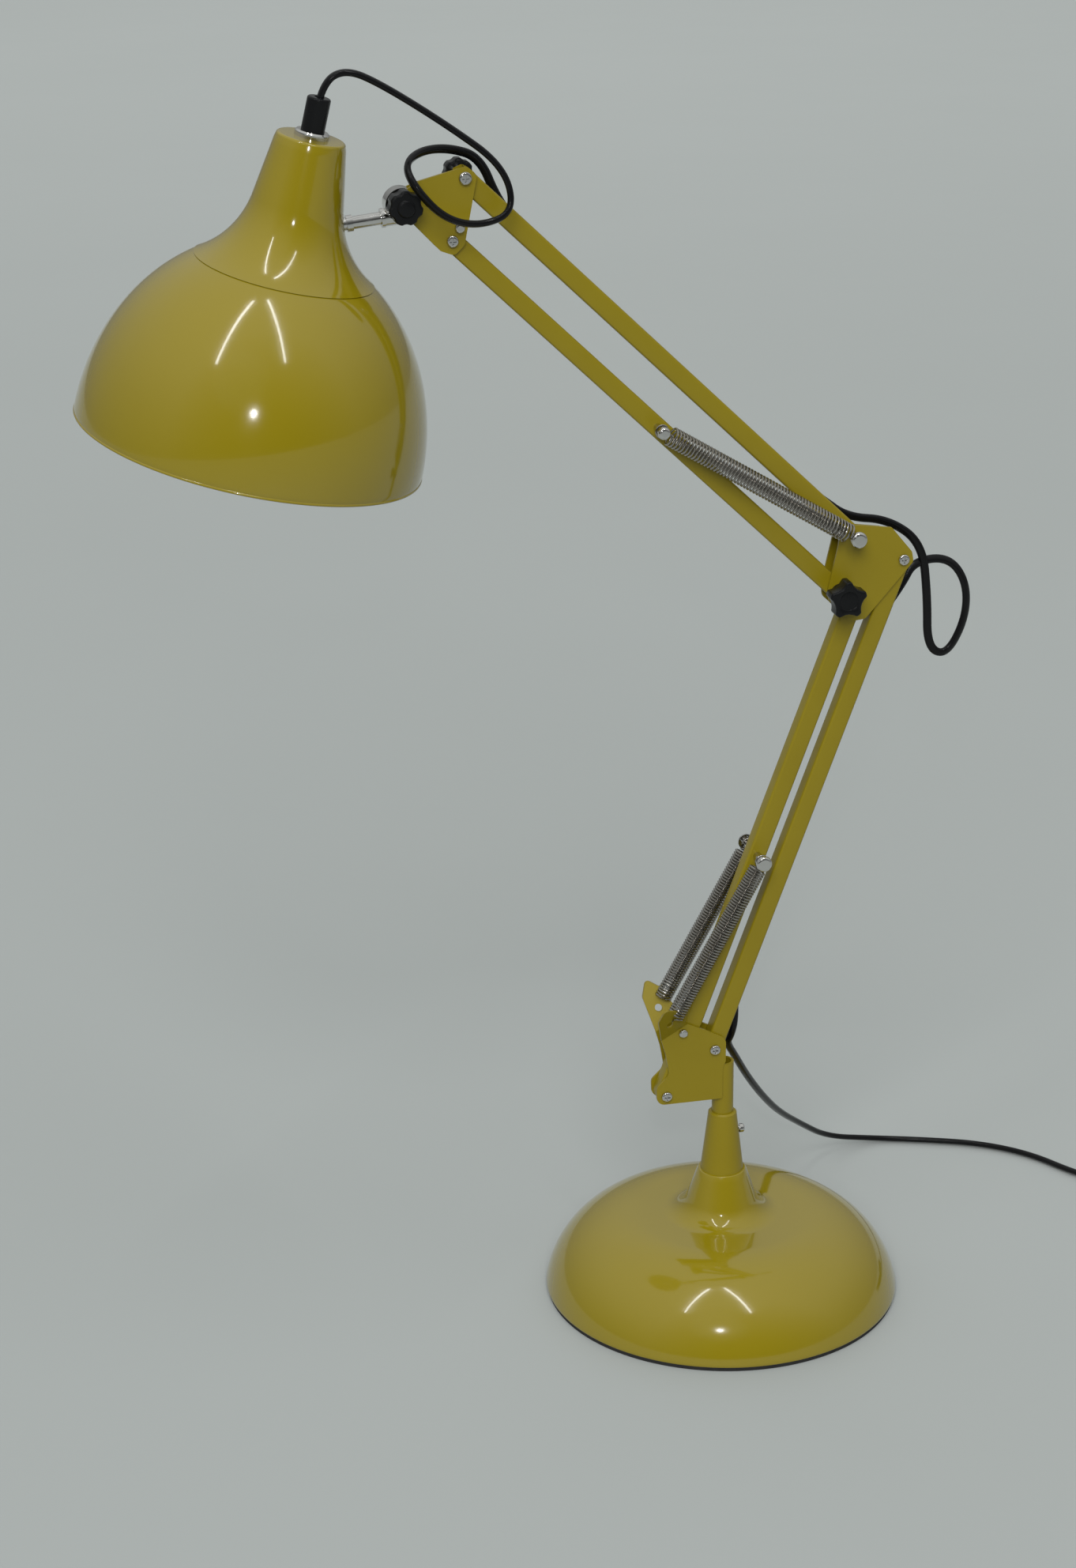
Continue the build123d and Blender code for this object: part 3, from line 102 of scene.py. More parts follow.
@dataclass(frozen=True)
class Finish:
    """One procedural finish: a mottled colour, a gloss that varies and a fine relief.

    Each scale is a number of noise cells per metre, and the depth of the grain is in metres.
    """

    name: str
    slot: Slot
    colour: Point
    mottle: Point
    mottle_scale: float
    rough: Flat
    rough_scale: float
    grain_scale: float
    grain_depth: float
    metallic: float = 0.0
    specular: float = 0.5
    coat: float = 0.0
    coat_rough: float = 0.05
    mottle_detail: float = 4.0
    rough_detail: float = 5.0
    grain_detail: float = 3.0
    noise_span: Flat = (0.3, 0.7)

    def material(self) -> bpy.types.Material:
        """Return the finish's material, made once and kept by name.

        Returns:
            A node material on Object coordinates: noise mixes the two colours, a second
            noise sets the roughness and a third one the bump.
        """
        found = bpy.data.materials.get(self.name)
        if found:
            return found
        made = bpy.data.materials.new(self.name)
        made.use_nodes = True
        tree = made.node_tree
        shader = tree.nodes["Principled BSDF"]
        set_inputs(shader, {"Metallic": self.metallic, "Specular IOR Level": self.specular,
                            "Coat Weight": self.coat, "Coat Roughness": self.coat_rough})
        place = tree.nodes.new("ShaderNodeTexCoord").outputs["Object"]
        self._colour(tree, place, shader)
        self._gloss(tree, place, shader)
        self._grain(tree, place, shader)
        made.diffuse_color = (*self.colour, 1.0)
        return made

    def _noise(self, tree: bpy.types.NodeTree, place: bpy.types.NodeSocket, scale: float,
               detail: float) -> bpy.types.NodeSocket:
        """Add a noise texture.

        Args:
            tree: Node tree of the material.
            place: Output that gives the coordinates.
            scale: Noise cells per metre.
            detail: Octaves of the noise.

        Returns:
            The noise's grey output.
        """
        noise = tree.nodes.new("ShaderNodeTexNoise")
        set_inputs(noise, {"Scale": scale, "Detail": detail})
        tree.links.new(place, noise.inputs["Vector"])
        return noise.outputs["Fac"]

    def _colour(self, tree: bpy.types.NodeTree, place: bpy.types.NodeSocket,
                shader: bpy.types.Node) -> None:
        """Mix the colour and its mottle by a soft noise.

        Args:
            tree: Node tree of the material.
            place: Output that gives the coordinates.
            shader: Shader whose colour is set.
        """
        mix = tree.nodes.new("ShaderNodeMix")
        mix.data_type = "RGBA"
        mix.inputs["A"].default_value = (*self.colour, 1.0)
        mix.inputs["B"].default_value = (*self.mottle, 1.0)
        share = self._noise(tree, place, self.mottle_scale, self.mottle_detail)
        tree.links.new(share, mix.inputs["Factor"])
        tree.links.new(mix.outputs["Result"], shader.inputs["Base Color"])

    def _gloss(self, tree: bpy.types.NodeTree, place: bpy.types.NodeSocket,
               shader: bpy.types.Node) -> None:
        """Let the roughness wander between its low and high value.

        Args:
            tree: Node tree of the material.
            place: Output that gives the coordinates.
            shader: Shader whose roughness is set.
        """
        spread = tree.nodes.new("ShaderNodeMapRange")
        set_inputs(spread, {"From Min": self.noise_span[0], "From Max": self.noise_span[1],
                            "To Min": self.rough[0], "To Max": self.rough[1]})
        share = self._noise(tree, place, self.rough_scale, self.rough_detail)
        tree.links.new(share, spread.inputs["Value"])
        tree.links.new(spread.outputs["Result"], shader.inputs["Roughness"])

    def _grain(self, tree: bpy.types.NodeTree, place: bpy.types.NodeSocket,
               shader: bpy.types.Node) -> None:
        """Raise a fine relief, as high as the grain's depth.

        Args:
            tree: Node tree of the material.
            place: Output that gives the coordinates.
            shader: Shader whose normal is set.
        """
        bump = tree.nodes.new("ShaderNodeBump")
        set_inputs(bump, {"Strength": 1.0, "Distance": self.grain_depth})
        height = self._noise(tree, place, self.grain_scale, self.grain_detail)
        tree.links.new(height, bump.inputs["Height"])
        tree.links.new(bump.outputs["Normal"], shader.inputs["Normal"])


GLOSS_PAINT = Finish(
    "mustard_gloss_enamel", Slot.GLOSS, colour=(0.245, 0.189, 0.0042),
    mottle=(0.228, 0.174, 0.0032), mottle_scale=14.0, rough=(0.10, 0.17), rough_scale=30.0,
    grain_scale=330.0, grain_depth=0.000012, coat=0.6, coat_rough=0.03)
SATIN_PAINT = Finish(
    "mustard_satin_enamel", Slot.SATIN, colour=(0.238, 0.184, 0.006),
    mottle=(0.216, 0.164, 0.0046), mottle_scale=40.0, rough=(0.30, 0.42), rough_scale=60.0,
    grain_scale=900.0, grain_depth=0.00002, specular=0.4)
REFLECTOR = Finish(
    "white_inside_enamel", Slot.GLOSS, colour=(0.62, 0.61, 0.57),
    mottle=(0.58, 0.57, 0.53), mottle_scale=20.0, rough=(0.32, 0.45), rough_scale=40.0,
    grain_scale=500.0, grain_depth=0.000015)
CHROME = Finish(
    "polished_chrome", Slot.CHROME, colour=(0.66, 0.65, 0.63),
    mottle=(0.58, 0.57, 0.55), mottle_scale=120.0, rough=(0.05, 0.16), rough_scale=220.0,
    grain_scale=700.0, grain_depth=0.000002, metallic=1.0)
SPRING_WIRE = Finish(
    "drawn_spring_wire", Slot.CHROME, colour=(0.40, 0.38, 0.35),
    mottle=(0.33, 0.31, 0.28), mottle_scale=150.0, rough=(0.16, 0.28), rough_scale=240.0,
    grain_scale=900.0, grain_depth=0.000002, metallic=1.0)
PLASTIC = Finish(
    "black_moulded_plastic", Slot.PLASTIC, colour=(0.0045, 0.0048, 0.0052),
    mottle=(0.007, 0.0073, 0.008), mottle_scale=60.0, rough=(0.22, 0.32), rough_scale=90.0,
    grain_scale=1400.0, grain_depth=0.00002, specular=0.18)
CORD = Finish(
    "black_flex_skin", Slot.CORD, colour=(0.0035, 0.0035, 0.004),
    mottle=(0.006, 0.006, 0.0065), mottle_scale=90.0, rough=(0.14, 0.22), rough_scale=120.0,
    grain_scale=900.0, grain_depth=0.00001, specular=0.2)
PAD = Finish(
    "black_foam_pad", Slot.PAD, colour=(0.016, 0.016, 0.016),
    mottle=(0.030, 0.029, 0.028), mottle_scale=300.0, rough=(0.80, 0.95), rough_scale=200.0,
    grain_scale=1800.0, grain_depth=0.0001)
IRON = Finish(
    "cast_iron", Slot.IRON, colour=(0.07, 0.068, 0.066),
    mottle=(0.11, 0.105, 0.10), mottle_scale=90.0, rough=(0.55, 0.75), rough_scale=120.0,
    grain_scale=350.0, grain_depth=0.0002, metallic=0.7)
GLASS = Finish(
    "frosted_bulb", Slot.GLASS, colour=(0.74, 0.74, 0.71),
    mottle=(0.70, 0.70, 0.67), mottle_scale=30.0, rough=(0.28, 0.36), rough_scale=60.0,
    grain_scale=900.0, grain_depth=0.000008, coat=0.2)
PAPER = Finish(
    "grey_paper", Slot.PAD, colour=(0.375, 0.397, 0.389),
    mottle=(0.362, 0.384, 0.375), mottle_scale=1.5, rough=(0.75, 0.9), rough_scale=3.0,
    grain_scale=300.0, grain_depth=0.00001, specular=0.2)


class Skin:
    """Points and faces of one piece, gathered patch by patch from whole arrays."""

    def __init__(self) -> None:
        """Start with nothing."""
        self._points: list[np.ndarray] = []
        self._faces: list[list[int]] = []
        self._finish_of: list[int] = []
        self._count = 0

    def patch(self, grid: np.ndarray, wrap_u: bool = False, wrap_v: bool = False,
              finish: int = 0) -> None:
        """Add a grid of quads, each from four neighbours in the grid.

        Args:
            grid: Points as rows, columns and three coordinates.
            wrap_u: Join the last row to the first.
            wrap_v: Join the last column to the first.
            finish: Index of the finish of these faces.
        """
        rows, columns = grid.shape[:2]
        index = self._count + np.arange(rows * columns).reshape(rows, columns)
        if wrap_u:
            index = np.vstack([index, index[:1]])
        if wrap_v:
            index = np.hstack([index, index[:, :1]])
        corners = [index[:-1, :-1], index[1:, :-1], index[1:, 1:], index[:-1, 1:]]
        quads = np.stack(corners, axis=-1).reshape(-1, 4)
        self._points.append(grid.reshape(-1, 3))
        self._faces.extend(quads.tolist())
        self._finish_of.extend([finish] * len(quads))
        self._count += rows * columns

    def cap(self, ring: np.ndarray, finish: int = 0) -> None:
        """Close a ring of points with one face.

        Args:
            ring: Points round the hole.
            finish: Index of the finish of the face.
        """
        self._points.append(ring)
        self._faces.append(list(range(self._count, self._count + len(ring))))
        self._finish_of.append(finish)
        self._count += len(ring)

    def build(self, name: str, *finishes: Finish, crease: float = 38.0) -> bpy.types.Object:
        """Make the object: seams merged, faces outward, smooth apart from sharp creases.

        Args:
            name: Name of the piece.
            finishes: Finishes in the order of the faces' indices.
            crease: Edges that turn by more than this many degrees stay sharp.

        Returns:
            The new object, at the origin.
        """
        mesh = bpy.data.meshes.new(name)
        mesh.from_pydata(np.concatenate(self._points).tolist(), [], self._faces)
        mesh.polygons.foreach_set("material_index", self._finish_of)
        work = bmesh.new()
        work.from_mesh(mesh)
        bmesh.ops.remove_doubles(work, verts=work.verts, dist=SEAM_GAP)
        bmesh.ops.recalc_face_normals(work, faces=work.faces)
        work.to_mesh(mesh)
        work.free()
        mesh.shade_smooth()
        mesh.set_sharp_from_angle(angle=math.radians(crease))
        for finish in finishes:
            mesh.materials.append(finish.material())
        piece = bpy.data.objects.new(name, mesh)
        bpy.context.scene.collection.objects.link(piece)
        return piece


def arc(centre: Flat, radius: Flat, start: float, end: float, count: int) -> np.ndarray:
    """Points of an elliptic arc: centre plus radius times cosine and sine.

    Args:
        centre: Centre of the ellipse.
        radius: Its two half axes.
        start: First angle in degrees.
        end: Last angle in degrees.
        count: Number of points.

    Returns:
        Array of count points in the plane.
    """
    angle = np.radians(np.linspace(start, end, count))
    return np.column_stack([centre[0] + radius[0] * np.cos(angle),
                            centre[1] + radius[1] * np.sin(angle)])


def lathe(profile: np.ndarray, segments: int) -> np.ndarray:
    """Turn a side line round the Z axis: radius times cosine and sine, at the line's height.

    Args:
        profile: Points as radius and height, in metres.
        segments: Steps round the axis.

    Returns:
        Grid of segments rows, one column for each profile point.
    """
    angle = np.linspace(0.0, FULL_TURN, segments, endpoint=False)[:, None]
    radius, height = profile[None, :, 0], profile[None, :, 1]
    return np.stack([radius * np.cos(angle), radius * np.sin(angle),
                     np.broadcast_to(height, (segments, len(profile)))], axis=-1)


def moved(grid: np.ndarray, place: Matrix) -> np.ndarray:
    """Points carried by a matrix."""
    turn = np.array(place.to_3x3())
    return grid @ turn.T + np.array(place.translation)


def unit(vector: np.ndarray) -> np.ndarray:
    """Vectors of length one in the same directions."""
    return vector / np.linalg.norm(vector, axis=-1, keepdims=True)


def carried(path: np.ndarray, section: np.ndarray, first_side: Point) -> np.ndarray:
    """Carry a flat section along a path without twisting it more than the path does.

    Each step takes over the last step's side direction, less its part along the path. A point
    is the path's point plus its share of the side and of the lift, which is square to both.

    Args:
        path: Points of the centre line.
        section: Points across the path, as side and lift.
        first_side: Direction that the section's side axis leans to at the start.

    Returns:
        Grid of one row for each path point.
    """
    along = unit(np.gradient(path, axis=0, edge_order=2))
    side = np.empty_like(path)
    here = np.array(first_side, float)
    for step, tangent in enumerate(along):
        here = here - tangent * (here @ tangent)
        here = here / np.linalg.norm(here)
        side[step] = here
    lift = np.cross(along, side)
    return (path[:, None, :] + section[None, :, :1] * side[:, None, :]
            + section[None, :, 1:] * lift[:, None, :])


def sleeve(name: str, grid: np.ndarray, finish: Finish) -> bpy.types.Object:
    """Make a closed tube from a grid of sections, with a face on each end.

    Args:
        name: Name of the piece.
        grid: One row of points for each section.
        finish: Finish of the whole tube.

    Returns:
        The new object.
    """
    skin = Skin()
    skin.patch(grid, wrap_v=True)
    skin.cap(grid[0])
    skin.cap(grid[-1])
    return skin.build(name, finish)


def through_stations(points: np.ndarray, ways: np.ndarray, steps: int,
                     pull: float = 1.1) -> np.ndarray:
    """Smooth line through points that leaves each one in a set direction.

    Cubic blend of end points and end directions, each direction as long as the run times a pull.

    Args:
        points: Stations to pass through.
        ways: Direction at each station.
        steps: Points for each run.
        pull: Length of the end directions, as a share of the run.

    Returns:
        Points along the line.
    """
    t = np.linspace(0.0, 1.0, steps, endpoint=False)[None, :, None]
    run = np.linalg.norm(np.diff(points, axis=0), axis=1)[:, None, None] * pull
    way = unit(ways)
    p0, p1 = points[:-1, None, :], points[1:, None, :]
    d0, d1 = way[:-1, None, :] * run, way[1:, None, :] * run
    line = ((2 * t**3 - 3 * t**2 + 1) * p0 + (t**3 - 2 * t**2 + t) * d0
            + (3 * t**2 - 2 * t**3) * p1 + (t**3 - t**2) * d1)
    return np.vstack([line.reshape(-1, 3), points[-1:]])


def along_bar(pivot: Flat, angle: float, along: Length, across: Length,
              y: Length) -> tuple[Length, Length, Length]:
    """Place along and across a bar: the pivot plus both lengths, turned by the bar's angle.

    Args:
        pivot: Start of the bar in the arm plane, in millimetres.
        angle: Direction of the bar, in degrees up from X.
        along: Length along the bar.
        across: Length across it.
        y: Depth.

    Returns:
        The three coordinates, in millimetres.
    """
    a = math.radians(angle)
    return (pivot[0] + along * math.cos(a) - across * math.sin(a), y,
            pivot[1] + along * math.sin(a) + across * math.cos(a))


def stepped(start: Flat, steps: list[Point]) -> list[Point]:
    """Points given from a start in the arm plane, in millimetres."""
    return [(start[0] + dx, y, start[1] + dz) for dx, y, dz in steps]


@dataclass(frozen=True)
class Linkage:
    """Pivots and directions of the arms, in millimetres and degrees in the arm plane."""

    foot_left: Flat = (-34.0, 123.7)
    foot_right: Flat = (-6.7, 149.1)
    lower_length: float = 291.4
    lower_angle: float = 69.77
    elbow_right: Flat = (94.07, 422.53)
    elbow_top: Flat = (65.52, 438.03)
    elbow_low: Flat = (58.62, 407.43)
    upper_length: float = 283.0
    upper_angle: float = 136.2
    head_top: Flat = (-138.74, 633.91)
    tilt: Flat = (-169.99, 622.01)
    ear_hole: Flat = (-34.1, 169.6)
    lower_pin: Flat = (16.63, 261.07)
    upper_pin: Flat = (-39.97, 501.98)
    spring_depth: float = 13.0


LINK = Linkage()


@dataclass(frozen=True)
class ShadePlace:
    """Where the shade sits: its axis tilted in the arm plane, then leaned about the stub."""

    stub_slope: float = 6.4
    stub_drop: float = 5.6
    home: Flat = (-53.57, -8.74)
    tilt: float = 12.83
    lean: float = 4.97

    def matrix(self) -> Matrix:
        """Work out the frame of the shade.

        Returns:
            The matrix that puts the shade, made upright at the origin, on its stub.
        """
        slope = math.radians(self.stub_slope)
        foot = Vector((LINK.tilt[0] + self.stub_drop * math.sin(slope), 0.0,
                       LINK.tilt[1] - self.stub_drop * math.cos(slope))) * MM
        axis = Vector((math.cos(slope), 0.0, math.sin(slope)))
        home = Vector((LINK.tilt[0] + self.home[0], 0.0, LINK.tilt[1] + self.home[1])) * MM
        lean = Matrix.Rotation(math.radians(self.lean), 4, axis)
        about = Matrix.Translation(foot) @ lean @ Matrix.Translation(-foot)
        tilt = Matrix.Rotation(math.radians(self.tilt), 4, "Y")
        return about @ Matrix.Translation(home) @ tilt


@dataclass
class Foot:
    """Spun foot: a round shoulder, a level top and a fillet into a steep tapered neck."""

    dome_centre: Flat = (47.0, -7.0)
    dome_radius: float = 53.2
    neck_radius: float = 13.4
    neck_slope: float = 70.0
    neck_z: float = 73.3
    flare_radius: float = 14.0
    rim_z: float = 2.0
    wall: float = 2.0
    lip: float = 0.7
    lip_start: float = 20.0
    lip_steps: int = 6
    fold_steps: int = 9
    shoulder_steps: int = 60
    fillet_steps: int = 30
    neck_steps: int = 10
    segments: int = 192

    def build(self) -> bpy.types.Object:
        """Make the shell as one closed turned surface and put it on the base.

        The side line goes round: half a circle under the rim, up the outside, over the
        rounded edge of the neck's top and back down the inside.

        Returns:
            The shell on its body.
        """
        outer, inner = self.side_line(0.0), self.side_line(self.wall)
        rim = np.vstack([outer[:1], inner[:1]])
        fold = arc(tuple(rim.mean(axis=0)), (self.wall / 2, self.wall / 2), 180.0, 360.0,
                   self.fold_steps)
        lip_centre = (outer[-1, 0] - self.lip, self.neck_z - self.lip)
        lip = arc(lip_centre, (self.lip, self.lip), self.lip_start, 90.0, self.lip_steps)
        profile = np.vstack([fold, outer[1:-1], lip, inner[:0:-1]])
        skin = Skin()
        skin.patch(lathe(profile * MM, self.segments), wrap_u=True, wrap_v=True)
        shell = skin.build("base_shell_skin", GLOSS_PAINT)
        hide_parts("base_shell")
        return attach(shell, "base")

    def side_line(self, inset: float) -> np.ndarray:
        """Side line from rim to neck: a shoulder arc, a level top, a fillet arc and the neck.

        Args:
            inset: How far the line is set in from the outside.

        Returns:
            Points as radius and height, in millimetres.
        """
        lean = math.radians(self.neck_slope)
        crest = self.dome_centre[1] + self.dome_radius
        flare_z = crest + self.flare_radius
        run = (self.neck_z + self.flare_radius * math.cos(lean) - flare_z) / math.sin(lean)
        flare_r = self.neck_radius + run * math.cos(lean) + self.flare_radius * math.sin(lean)
        dome, flare = self.dome_radius - inset, self.flare_radius + inset
        edge_z = self.rim_z + self.wall / 2
        low = math.degrees(math.asin((edge_z - self.dome_centre[1]) / dome))
        shoulder = arc(self.dome_centre, (dome, dome), low, 90.0, self.shoulder_steps)
        fillet = arc((flare_r, flare_z), (flare, flare), 270.0, 270.0 - self.neck_slope,
                     self.fillet_steps)
        top = np.array([self.neck_radius - inset / math.sin(lean), self.neck_z])
        share = np.linspace(1.0 / self.neck_steps, 1.0, self.neck_steps)[:, None]
        neck = fillet[-1] + (top - fillet[-1]) * share
        return np.vstack([shoulder, fillet, neck])


@dataclass
class Bar:
    """Square tube with eased edges and round ends, hollow from end to end."""

    name: str
    node: str
    body: str
    pivot: Flat
    length: float
    angle: float
    wide: float = 10.0
    deep: float = 9.6
    edge: float = 1.3
    least_edge: float = 0.3
    edge_steps: int = 6
    wall: float = 1.0
    rows: int = 40
    crease: float = 50.0

    def build(self) -> bpy.types.Object:
        """Make the tube's outside, inside and end lips, and put it on its body.

        Returns:
            The bar on its body.
        """
        skin = Skin()
        outside = self.wall_grid(0.0)
        inside = self.wall_grid(self.wall)
        skin.patch(outside, wrap_v=True)
        skin.patch(inside[::-1], wrap_v=True)
        for end in (0, -1):
            skin.patch(np.stack([outside[end], inside[end]]), wrap_v=True)
        bar = skin.build(self.name, SATIN_PAINT, crease=self.crease)
        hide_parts(self.node)
        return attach(bar, self.body)

    def wall_grid(self, inset: float) -> np.ndarray:
        """Grid of one wall: a rounded square carried from end to end.

        Each point's run ends on the round end, at the root of half the width squared less its
        own place across squared.

        Args:
            inset: How far the wall is set in from the outside.

        Returns:
            Grid of rows along the bar, in metres.
        """
        section = self.section(inset)
        across, depth = section[None, :, 0], section[None, :, 1]
        reach = np.sqrt(np.maximum((self.wide / 2) ** 2 - across**2, 0.0))
        share = np.linspace(0.0, 1.0, self.rows)[:, None]
        along = -reach + share * (self.length + 2 * reach)
        place = along_bar(self.pivot, self.angle, along, across, depth)
        return np.stack(np.broadcast_arrays(*place), axis=-1) * MM

    def section(self, inset: float) -> np.ndarray:
        """Rounded square across the bar: four corner arcs, with a point halfway along each step.

        Args:
            inset: How far the square is set in from the outside.

        Returns:
            Points as across and depth, in millimetres.
        """
        edge = max(self.edge - inset, self.least_edge)
        half_wide, half_deep = self.wide / 2 - inset - edge, self.deep / 2 - inset - edge
        signs = ((1, 1), (-1, 1), (-1, -1), (1, -1))
        corners = [arc((sx * half_wide, sy * half_deep), (edge, edge), 90.0 * turn,
                       90.0 * turn + 90.0, self.edge_steps)
                   for turn, (sx, sy) in enumerate(signs)]
        ring = np.vstack(corners)
        halfway = ring + (np.roll(ring, -1, axis=0) - ring) / 2
        return np.stack([ring, halfway], axis=1).reshape(-1, 2)


@dataclass
class Spring:
    """Tension spring: a hook, a close coil and a hook, from one round wire."""

    node: str
    start: Flat
    end: Flat
    side: Side
    turns: int
    lead: float
    tail: float
    first_pin: float
    last_pin: float
    coil: float
    wire: float = 0.6
    wire_sides: int = 8
    wire_side: Point = (0.3, 0.9, 0.2)
    per_turn: int = 22
    hook_arc: Flat = (-150.0, 110.0)
    hook_steps: int = 40
    hook_room: float = 0.15
    join_steps: int = 10

    def build(self) -> bpy.types.Object:
        """Make the spring's wire as one tube: a circle carried along its centre line.

        Returns:
            The spring, on no body yet.
        """
        radius = self.wire * MM
        circle = arc((0.0, 0.0), (radius, radius), 0.0, 360.0, self.wire_sides + 1)[:-1]
        grid = carried(self.centre_line() * MM, circle, self.wire_side)
        spring = sleeve(self.node + "_wire", grid, SPRING_WIRE)
        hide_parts(self.node)
        return spring

    def centre_line(self) -> np.ndarray:
        """Line of the wire: a ring round each pin joined to the coil's first and last curl.

        The coil rises evenly along the axis while it goes round by its radius times cosine
        and sine.

        Returns:
            Points of the line, in millimetres.
        """
        depth = self.side.value * LINK.spring_depth
        first = np.array([self.start[0], depth, self.start[1]])
        last = np.array([self.end[0], depth, self.end[1]])
        axis = unit(last - first)
        side = np.array([0.0, self.side.value, 0.0])
        other = np.cross(axis, side)
        run = np.linalg.norm(last - first) - self.lead - self.tail
        turn = np.linspace(0.0, FULL_TURN * self.turns, self.turns * self.per_turn + 1)[:, None]
        rise = turn / (FULL_TURN * self.turns) * run + self.lead
        coil = first + axis * rise + self.coil * (side * np.cos(turn) + other * np.sin(turn))
        begin = self.ring(first, -axis, other, self.first_pin)[::-1]
        finish = self.ring(last, axis, other, self.last_pin)
        return np.vstack([self.join(begin, coil), coil, self.join(coil, finish), finish])

    def ring(self, centre: np.ndarray, away: np.ndarray, other: np.ndarray,
             pin: float) -> np.ndarray:
        """Open ring round a pin, from the coil side round the far side.

        Args:
            centre: Middle of the pin.
            away: Direction away from the coil.
            other: Direction square to it.
            pin: Radius of the pin.

        Returns:
            Points of the ring.
        """
        angle = np.radians(np.linspace(*self.hook_arc, self.hook_steps))[:, None]
        reach = pin + self.wire + self.hook_room
        return centre + reach * (away * np.cos(angle) + other * np.sin(angle))

    def join(self, before: np.ndarray, after: np.ndarray) -> np.ndarray:
        """Smooth short run between the end of one line and the start of the next.

        Args:
            before: The line that ends.
            after: The line that starts.

        Returns:
            Points between them, without the two ends.
        """
        points = np.stack([before[-1], after[0]])
        ways = np.stack([before[-1] - before[-2], after[1] - after[0]])
        return through_stations(points, ways, self.join_steps)[1:-1]


@dataclass(frozen=True)
class FlexSection:
    """Section of the mains flex: an oval of two cores with a shallow groove between them."""

    half_wide: float = 2.35
    half_thick: float = 1.95
    groove: float = 0.16
    groove_power: int = 6
    sides: int = 16

    def points(self) -> np.ndarray:
        """Points round the oval, whose thickness dips by a power of the sine.

        Returns:
            Points across the flex, in metres.
        """
        angle = np.linspace(0.0, FULL_TURN, self.sides, endpoint=False)
        waist = 1.0 - self.groove * np.abs(np.sin(angle)) ** self.groove_power
        return np.column_stack([self.half_wide * np.cos(angle),
                                self.half_thick * waist * np.sin(angle)]) * MM


FLEX_SECTION = FlexSection()


@dataclass
class Flex:
    """One free length of the mains flex, on a smooth spline through its given points.

    It names the two bodies that it runs between and the point bend_end, which nothing here reads.
    The length is in metres.
    """

    name: str
    nodes: tuple[str, ...]
    bodies: tuple[str, str]
    points: list[Point]
    length: float
    bend_end: int = -1
    far_end: str = "object"
    lay: str = "hanging"
    with_pieces: tuple[str, ...] = ()
    diameter: float = 4.4
    order: int = 3
    steps: int = 10

    def build(self, first_side: Point) -> tuple[bpy.types.Object, Point]:
        """Args:
            first_side: Direction of the flex's wide way at its start.

        Returns:
            The piece, and the direction of its wide way at its end.
        """
        path = self.spline_points()
        run = np.linalg.norm(np.diff(path, axis=0), axis=1).sum()
        LOG.info("%s runs %.3f m", self.name, run)
        grid = carried(path, FLEX_SECTION.points(), first_side)
        piece = sleeve(self.name, grid, CORD)
        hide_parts(*self.nodes)
        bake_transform(piece)
        return piece, tuple(grid[-1, 0] - path[-1])

    def spline_points(self) -> np.ndarray:
        """Points along the spline whose control points are the route's points.

        Returns:
            Points of the centre line, in metres.
        """
        data = bpy.data.curves.new(self.name + "_route", "CURVE")
        data.dimensions = "3D"
        data.resolution_u = self.steps
        spline = data.splines.new("NURBS")
        spline.points.add(len(self.points) - 1)
        control = np.column_stack([np.array(self.points) * MM, np.ones(len(self.points))])
        spline.points.foreach_set("co", control.ravel())
        spline.order_u = self.order
        spline.use_endpoint_u = True
        route = bpy.data.objects.new(self.name + "_route", data)
        bpy.context.scene.collection.objects.link(route)
        bpy.context.view_layer.update()
        line = bpy.data.meshes.new_from_object(route)
        flat = np.empty(3 * len(line.vertices))
        line.vertices.foreach_get("co", flat)
        bpy.data.meshes.remove(line)
        bpy.data.objects.remove(route)
        bpy.data.curves.remove(data)
        return flat.reshape(-1, 3)


